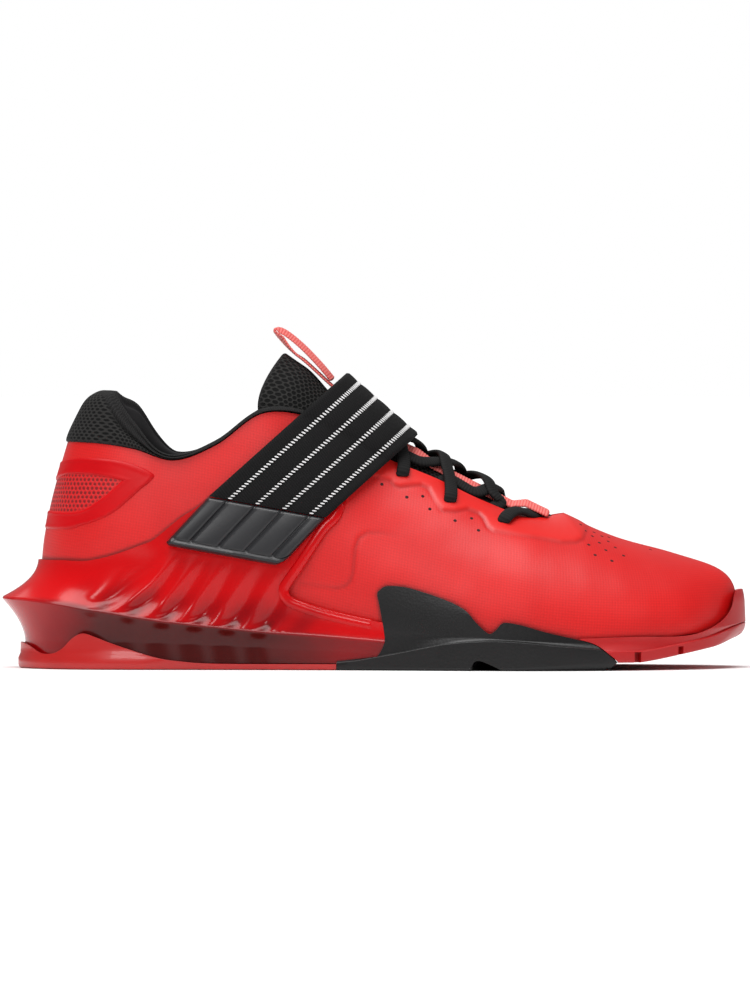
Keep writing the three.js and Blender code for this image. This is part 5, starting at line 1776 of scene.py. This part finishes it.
def buildClip(form):
    stations = stationsBetween(0, 2, 14) + stationsBetween(2, 7.5, 18)[1:] + stationsBetween(7.5, 9, 8)[1:]
    clip = bodyBetween("heelClip", stations, clipColumn)
    high = levelAt(0.5, 1.6)
    window = smoothOutline(onSide(windowRows), 4)
    cutBy(clip, sidePrism(window + [(alongX(0.62), high), (window[0][0], high)]))
    front = alongX(clipSettings["front"])
    cutBy(clip, sidePrism([(front, -30), (200, -30), (200, 300), (front, 300)]))
    cutBy(clip, sidePrism(blackOutline(0.05)))
    cutBy(clip, form, keep=True)
    clip = joined("heelClip", [clip, clipLip(lateral), clipLip(medial)])
    # painted shade for the clip's colour
    paint(clip, "dark", darkAt)
    dress(clip, "mouldedClip", ["midsole"], angle=38, even=True)


def heelTreadColumn(side, u):  # heights, and how far out
    at = shareOf(side, u)
    waist, base = tableAt(clipRows, "waist", at), tableAt(clipRows, "base", at)
    rows = [(0, base - 1.2), (0.5, base - 0.35), (1.6, base), (4.2, base), (6.2, base - 0.9)]
    rows += [(8.5, waist + 1.9), (17, waist + 1.6)]
    return [wallPoint(side, u, z, out) for z, out in rows]


ledgeRows = named(["at", "up"], [[0.42, 3], [0.499, 6.4], [0.585, 11], [0.66, 12], [0.757, 9.6], [0.83, 8]])

# Heights over the footbed, and how far the reach there has gone from the footbed's to the top's
wrapTop = [(10, 0.6), (26, 1)]
bumperTop = [(10, 0.6), (12.5, 0.65), (15, 0.7), (17.5, 0.75), (20, 0.8), (26, 1)]


def treadColumn(side, u, low, ledge, corner, above):  # rounded foot, ledge, waist, and wrap over it
    at = shareOf(side, u)
    base = tableAt(treadRows, "lateral" if side == lateral else "medial", at)
    foot, top = tableAt(treadRows, "footbed", at), tableAt(treadRows, "top", at)
    bed = footbedAt(at)
    turns = [(1 - math.cos(a), 1 - math.sin(a)) for a in (0, 0.4, 0.8, 1.2, 1.57)]
    rows = [(low + corner * up, base - corner * inward) for up, inward in turns]
    rows += [(ledge - 0.3, base), (ledge, base - 0.25)]
    for w in (0.02, 0.12, 0.3, 0.55, 0.8):
        rows.append((lerp(ledge + 0.1, bed + 1.5, w), foot + (base - 0.9 - foot) * (1 - w) ** 2.2))
    rows += [(bed + 1.5, foot)] + [(bed + up, lerp(foot, top, share)) for up, share in above]
    return [wallPoint(side, u, z, out) for z, out in rows]


toeNotches = [(105.4, 2.9, 4.2), (122.6, 2.6, 3.4), (147.9, 1.1, 2.2)]  # place, width and height
notchSettings = {"out": 4.2, "deep": 5.6, "tall": 8}


def toeNotch(side, x, width, height):  # a small upright slot in the side of the toe's tread
    s = notchSettings
    u = bisected(9.0, 14.9, lambda row: footAt(side, row).x < x)
    centre = wallPoint(side, u, toeUnderside(shareAt(x)) + height - s["tall"] / 2, s["out"])
    out = outwardAt(side, round(u, 5))
    clearSelection()
    bpy.ops.mesh.primitive_cube_add(size=1)
    slot = bpy.context.object
    along = Vector((out.y, -out.x, 0))
    for vertex in slot.data.vertices:
        c = vertex.co.copy()
        spot = centre + along * c.x * width + out * c.y * s["deep"]
        vertex.co = (spot + Vector((0, 0, c.z * s["tall"]))) * mm
    return slot


def buildTreads(form):
    heel = bodyBetween("heelTread", stationsBetween(0, 7.5, 10), heelTreadColumn)
    rim = smoothOutline(onSide(heelRimRows), 6)
    front = alongX(blackStart) - last["gap"]
    outline = [(-200, rim[0][1])] + rim + [(front, rim[-1][1]), (front, -5), (-200, -5)]
    cutBy(heel, sidePrism(outline), "INTERSECT")
    dress(heel, "redRubber", ["heel_outsole"], angle=40, even=True)

    def blackSide(side, u):
        corner = lerp(1.3, 3.2, smooth(shareOf(side, u), 0.66, 0.8))
        return treadColumn(side, u, 0, tableAt(ledgeRows, "up", shareOf(side, u)), corner, wrapTop)

    black = bodyBetween("blackTread", stationsBetween(6.6, 13, 14), blackSide)
    cutBy(black, sidePrism(blackOutline(0)), "INTERSECT")
    notch = smoothOutline(onSide(flexNotch), 4) + [(alongX(0.6655), -5), (alongX(0.6155), -5)]
    notch = [(x - flexSlant * flexShare, z) for x, z in notch]
    cutBy(black, sidePrism(notch, -110, axisY + 0.2, flexSlant))
    cutBy(black, sidePrism([(x + flexSlant, z) for x, z in notch], axisY - 0.2, 110, -flexSlant))
    cutBy(black, form, keep=True)
    dress(black, "blackRubber", ["forefoot_outsole"], angle=40, even=True)

    def toeSide(side, u):
        at = shareOf(side, u)
        low = toeUnderside(at)
        ledge = low + lerp(4.6, 6.4, smooth(at, 0.94, 1))
        return treadColumn(side, u, low, ledge, lerp(1.0, 5.6, smooth(at, 0.95, 1)), bumperTop)

    toe = bodyBetween("toeRubber", stationsBetween(11.4, lastRow, 16), toeSide)
    edge = smoothOutline(onSide(toeEdgeRows), 6)
    outline = edge + [(alongX(0.77), -5), (alongX(1.1), -5), (alongX(1.1), levelAt(1, 0.23))]
    cutBy(toe, sidePrism(outline), "INTERSECT")
    cutBy(toe, sidePrism(blackOutline(0.25)))
    cutBy(toe, form, keep=True)
    for side in (lateral, medial):
        for x, width, height in toeNotches:
            cutBy(toe, toeNotch(side, x, width, height))
    dress(toe, "toeRubber", ["toe_outsole"], angle=40, even=True)


form = lastBody(0.15)
buildClip(form)
print("clip built")
buildTreads(form)
bpy.data.objects.remove(form)
print("treads built")


# Insole
insoleRows = [(-3, 5.0), (-9, 4.3), (-20, 4.2)]  # way inward from its edge, and height


def buildInsole():
    inset = -last["wall"] - 0.8

    def column(side, u):
        foot = footAt(side, u)
        low = skin(side, u, heightShare(side, u, foot.z), inset)
        low.z = foot.z + 0.05
        edge = skin(side, u, heightShare(side, u, foot.z + 6), inset)
        rows = [low, edge]
        for inward, z in insoleRows:
            point = edge + outwardAt(side, round(u, 5)) * inward
            point.z = foot.z + z
            rows.append(point)
        return rows

    insole = bodyBetween("insoleSheet", stationsBetween(0.4, lastRow - 0.4, 5), column)
    dress(insole, "insoleCloth", ["insole"], angle=50)


# Pinholes beside the eyelets and on the vamp, in side view
pinholes = [
    (3, 75.7), (13.2, 70.4), (19.7, 70.8), (22.6, 65.6), (32.9, 60.9), (39.7, 61.9), (42.5, 57),
    (84.5, 58.6), (86.5, 56.6), (90.2, 55.8), (89.4, 54.4), (93.4, 54.2), (96.3, 53.7),
    (92.2, 51.7), (95.9, 52.1), (87.7, 50.9), (98.7, 49.7), (94.7, 48.7), (90.2, 46.8), (102, 46.4),
    (97.1, 44.4), (103.2, 52.1), (110.1, 50.1), (113.4, 48.5),
]


dotSettings = {"wide": 0.72, "thick": 0.07, "crestFrom": 0.995}


def buildPinholes():
    s = dotSettings
    dots = []
    for side in (lateral, medial):
        for pinX, pinZ in pinholes:
            u = rowAt(side, pinX, pinZ, 5.0, 14.6, 25)
            h = heightShare(side, u, pinZ)
            if h > s["crestFrom"]:
                continue
            place, normal = skin(side, u, h, upperRelief(side, u, h)), normalAt(side, u, h)
            clearSelection()
            bpy.ops.mesh.primitive_uv_sphere_add(segments=14, ring_count=8, radius=1)
            dot = bpy.context.object
            turn = Vector((0, 0, 1)).rotation_difference(normal)
            for vertex in dot.data.vertices:
                x, y, z = vertex.co
                vertex.co = (place + turn @ Vector((x * s["wide"], y * s["wide"], z * s["thick"]))) * mm
            dots.append(dot)
    holes = joined("pinholes", dots)
    dress(holes, "pinhole")


buildInsole()
buildPinholes()
print("small parts built")

# Stage, lights and camera
stageSettings = {
    "floor": 40.0,
    "width": 308.3,
    "sensor": 36,
    "distance": 5.0,
    "elevation": 0.8,
    "centre": (0.2, 0, 68.9),
    "lightsAim": (0, 0, 0.05),
    "sky": 0.22,
    "lights": [
        ("broadLight", "SUN", (-0.2, -0.35, 1.6), 50, 3.1),
        ("keyLight", "AREA", (-0.35, -1.5, 0.85), 0.34, 4.2),
        ("frontLight", "AREA", (0.9, -0.9, 0.8), 0.45, 1.1),
        ("rearLight", "AREA", (-0.2, 0.9, 1.0), 0.8, 2),
    ],
}


def buildStage():
    s = stageSettings
    clearSelection()
    bpy.ops.mesh.primitive_plane_add(size=s["floor"], location=(0, 0, 0))
    floor = bpy.context.object
    floor.name = floor.data.name = "paleFloor"
    values = {"Base_Color": (0.95, 0.95, 0.95, 1), "Specular_IOR_Level": 0.0, "Roughness": 0.6}
    newMaterial("paleFloor", **values)
    floor.data.materials.append(materials["paleFloor"])
    world = bpy.data.worlds.new("studio")
    world.use_nodes = True
    tree = world.node_tree
    seen = add(tree, "ShaderNodeBackground", {"Color": (1, 1, 1, 1), "Strength": 1.0}).outputs[0]
    lit = tree.nodes["Background"]
    lit.inputs["Color"].default_value = (1, 1, 1, 1)
    lit.inputs["Strength"].default_value = s["sky"]
    straight = add(tree, "ShaderNodeLightPath").outputs["Is Camera Ray"]
    both = add(tree, "ShaderNodeMixShader", {0: straight, 1: lit.outputs[0], 2: seen}).outputs[0]
    tree.links.new(both, tree.nodes["World Output"].inputs["Surface"])
    bpy.context.scene.world = world
    for name, kind, place, size, power in s["lights"]:
        bpy.ops.object.light_add(type=kind, location=place)
        light = bpy.context.object
        light.name = name
        light.data.energy = power
        if kind == "SUN":
            light.data.angle = math.radians(size)
        else:
            light.data.size = size
        light.rotation_mode = "QUATERNION"
        way = Vector(s["lightsAim"]) - Vector(place)
        light.rotation_quaternion = way.to_track_quat("-Z", "Y")
    bpy.ops.object.camera_add()
    camera = bpy.context.object
    camera.name = "photoCamera"
    tilt = math.radians(s["elevation"])
    aim = Vector(s["centre"]) * mm
    back = Vector((0, -math.cos(tilt), math.sin(tilt)))
    camera.location = aim + back * s["distance"]
    camera.rotation_mode = "QUATERNION"
    camera.rotation_quaternion = (-back).to_track_quat("-Z", "Y")
    camera.data.sensor_fit = "HORIZONTAL"
    camera.data.sensor_width = s["sensor"]
    camera.data.lens = s["sensor"] * s["distance"] / (s["width"] * mm)
    bpy.context.scene.camera = camera
    bpy.context.scene.view_settings.view_transform = "Standard"


buildStage()
print("stage built")
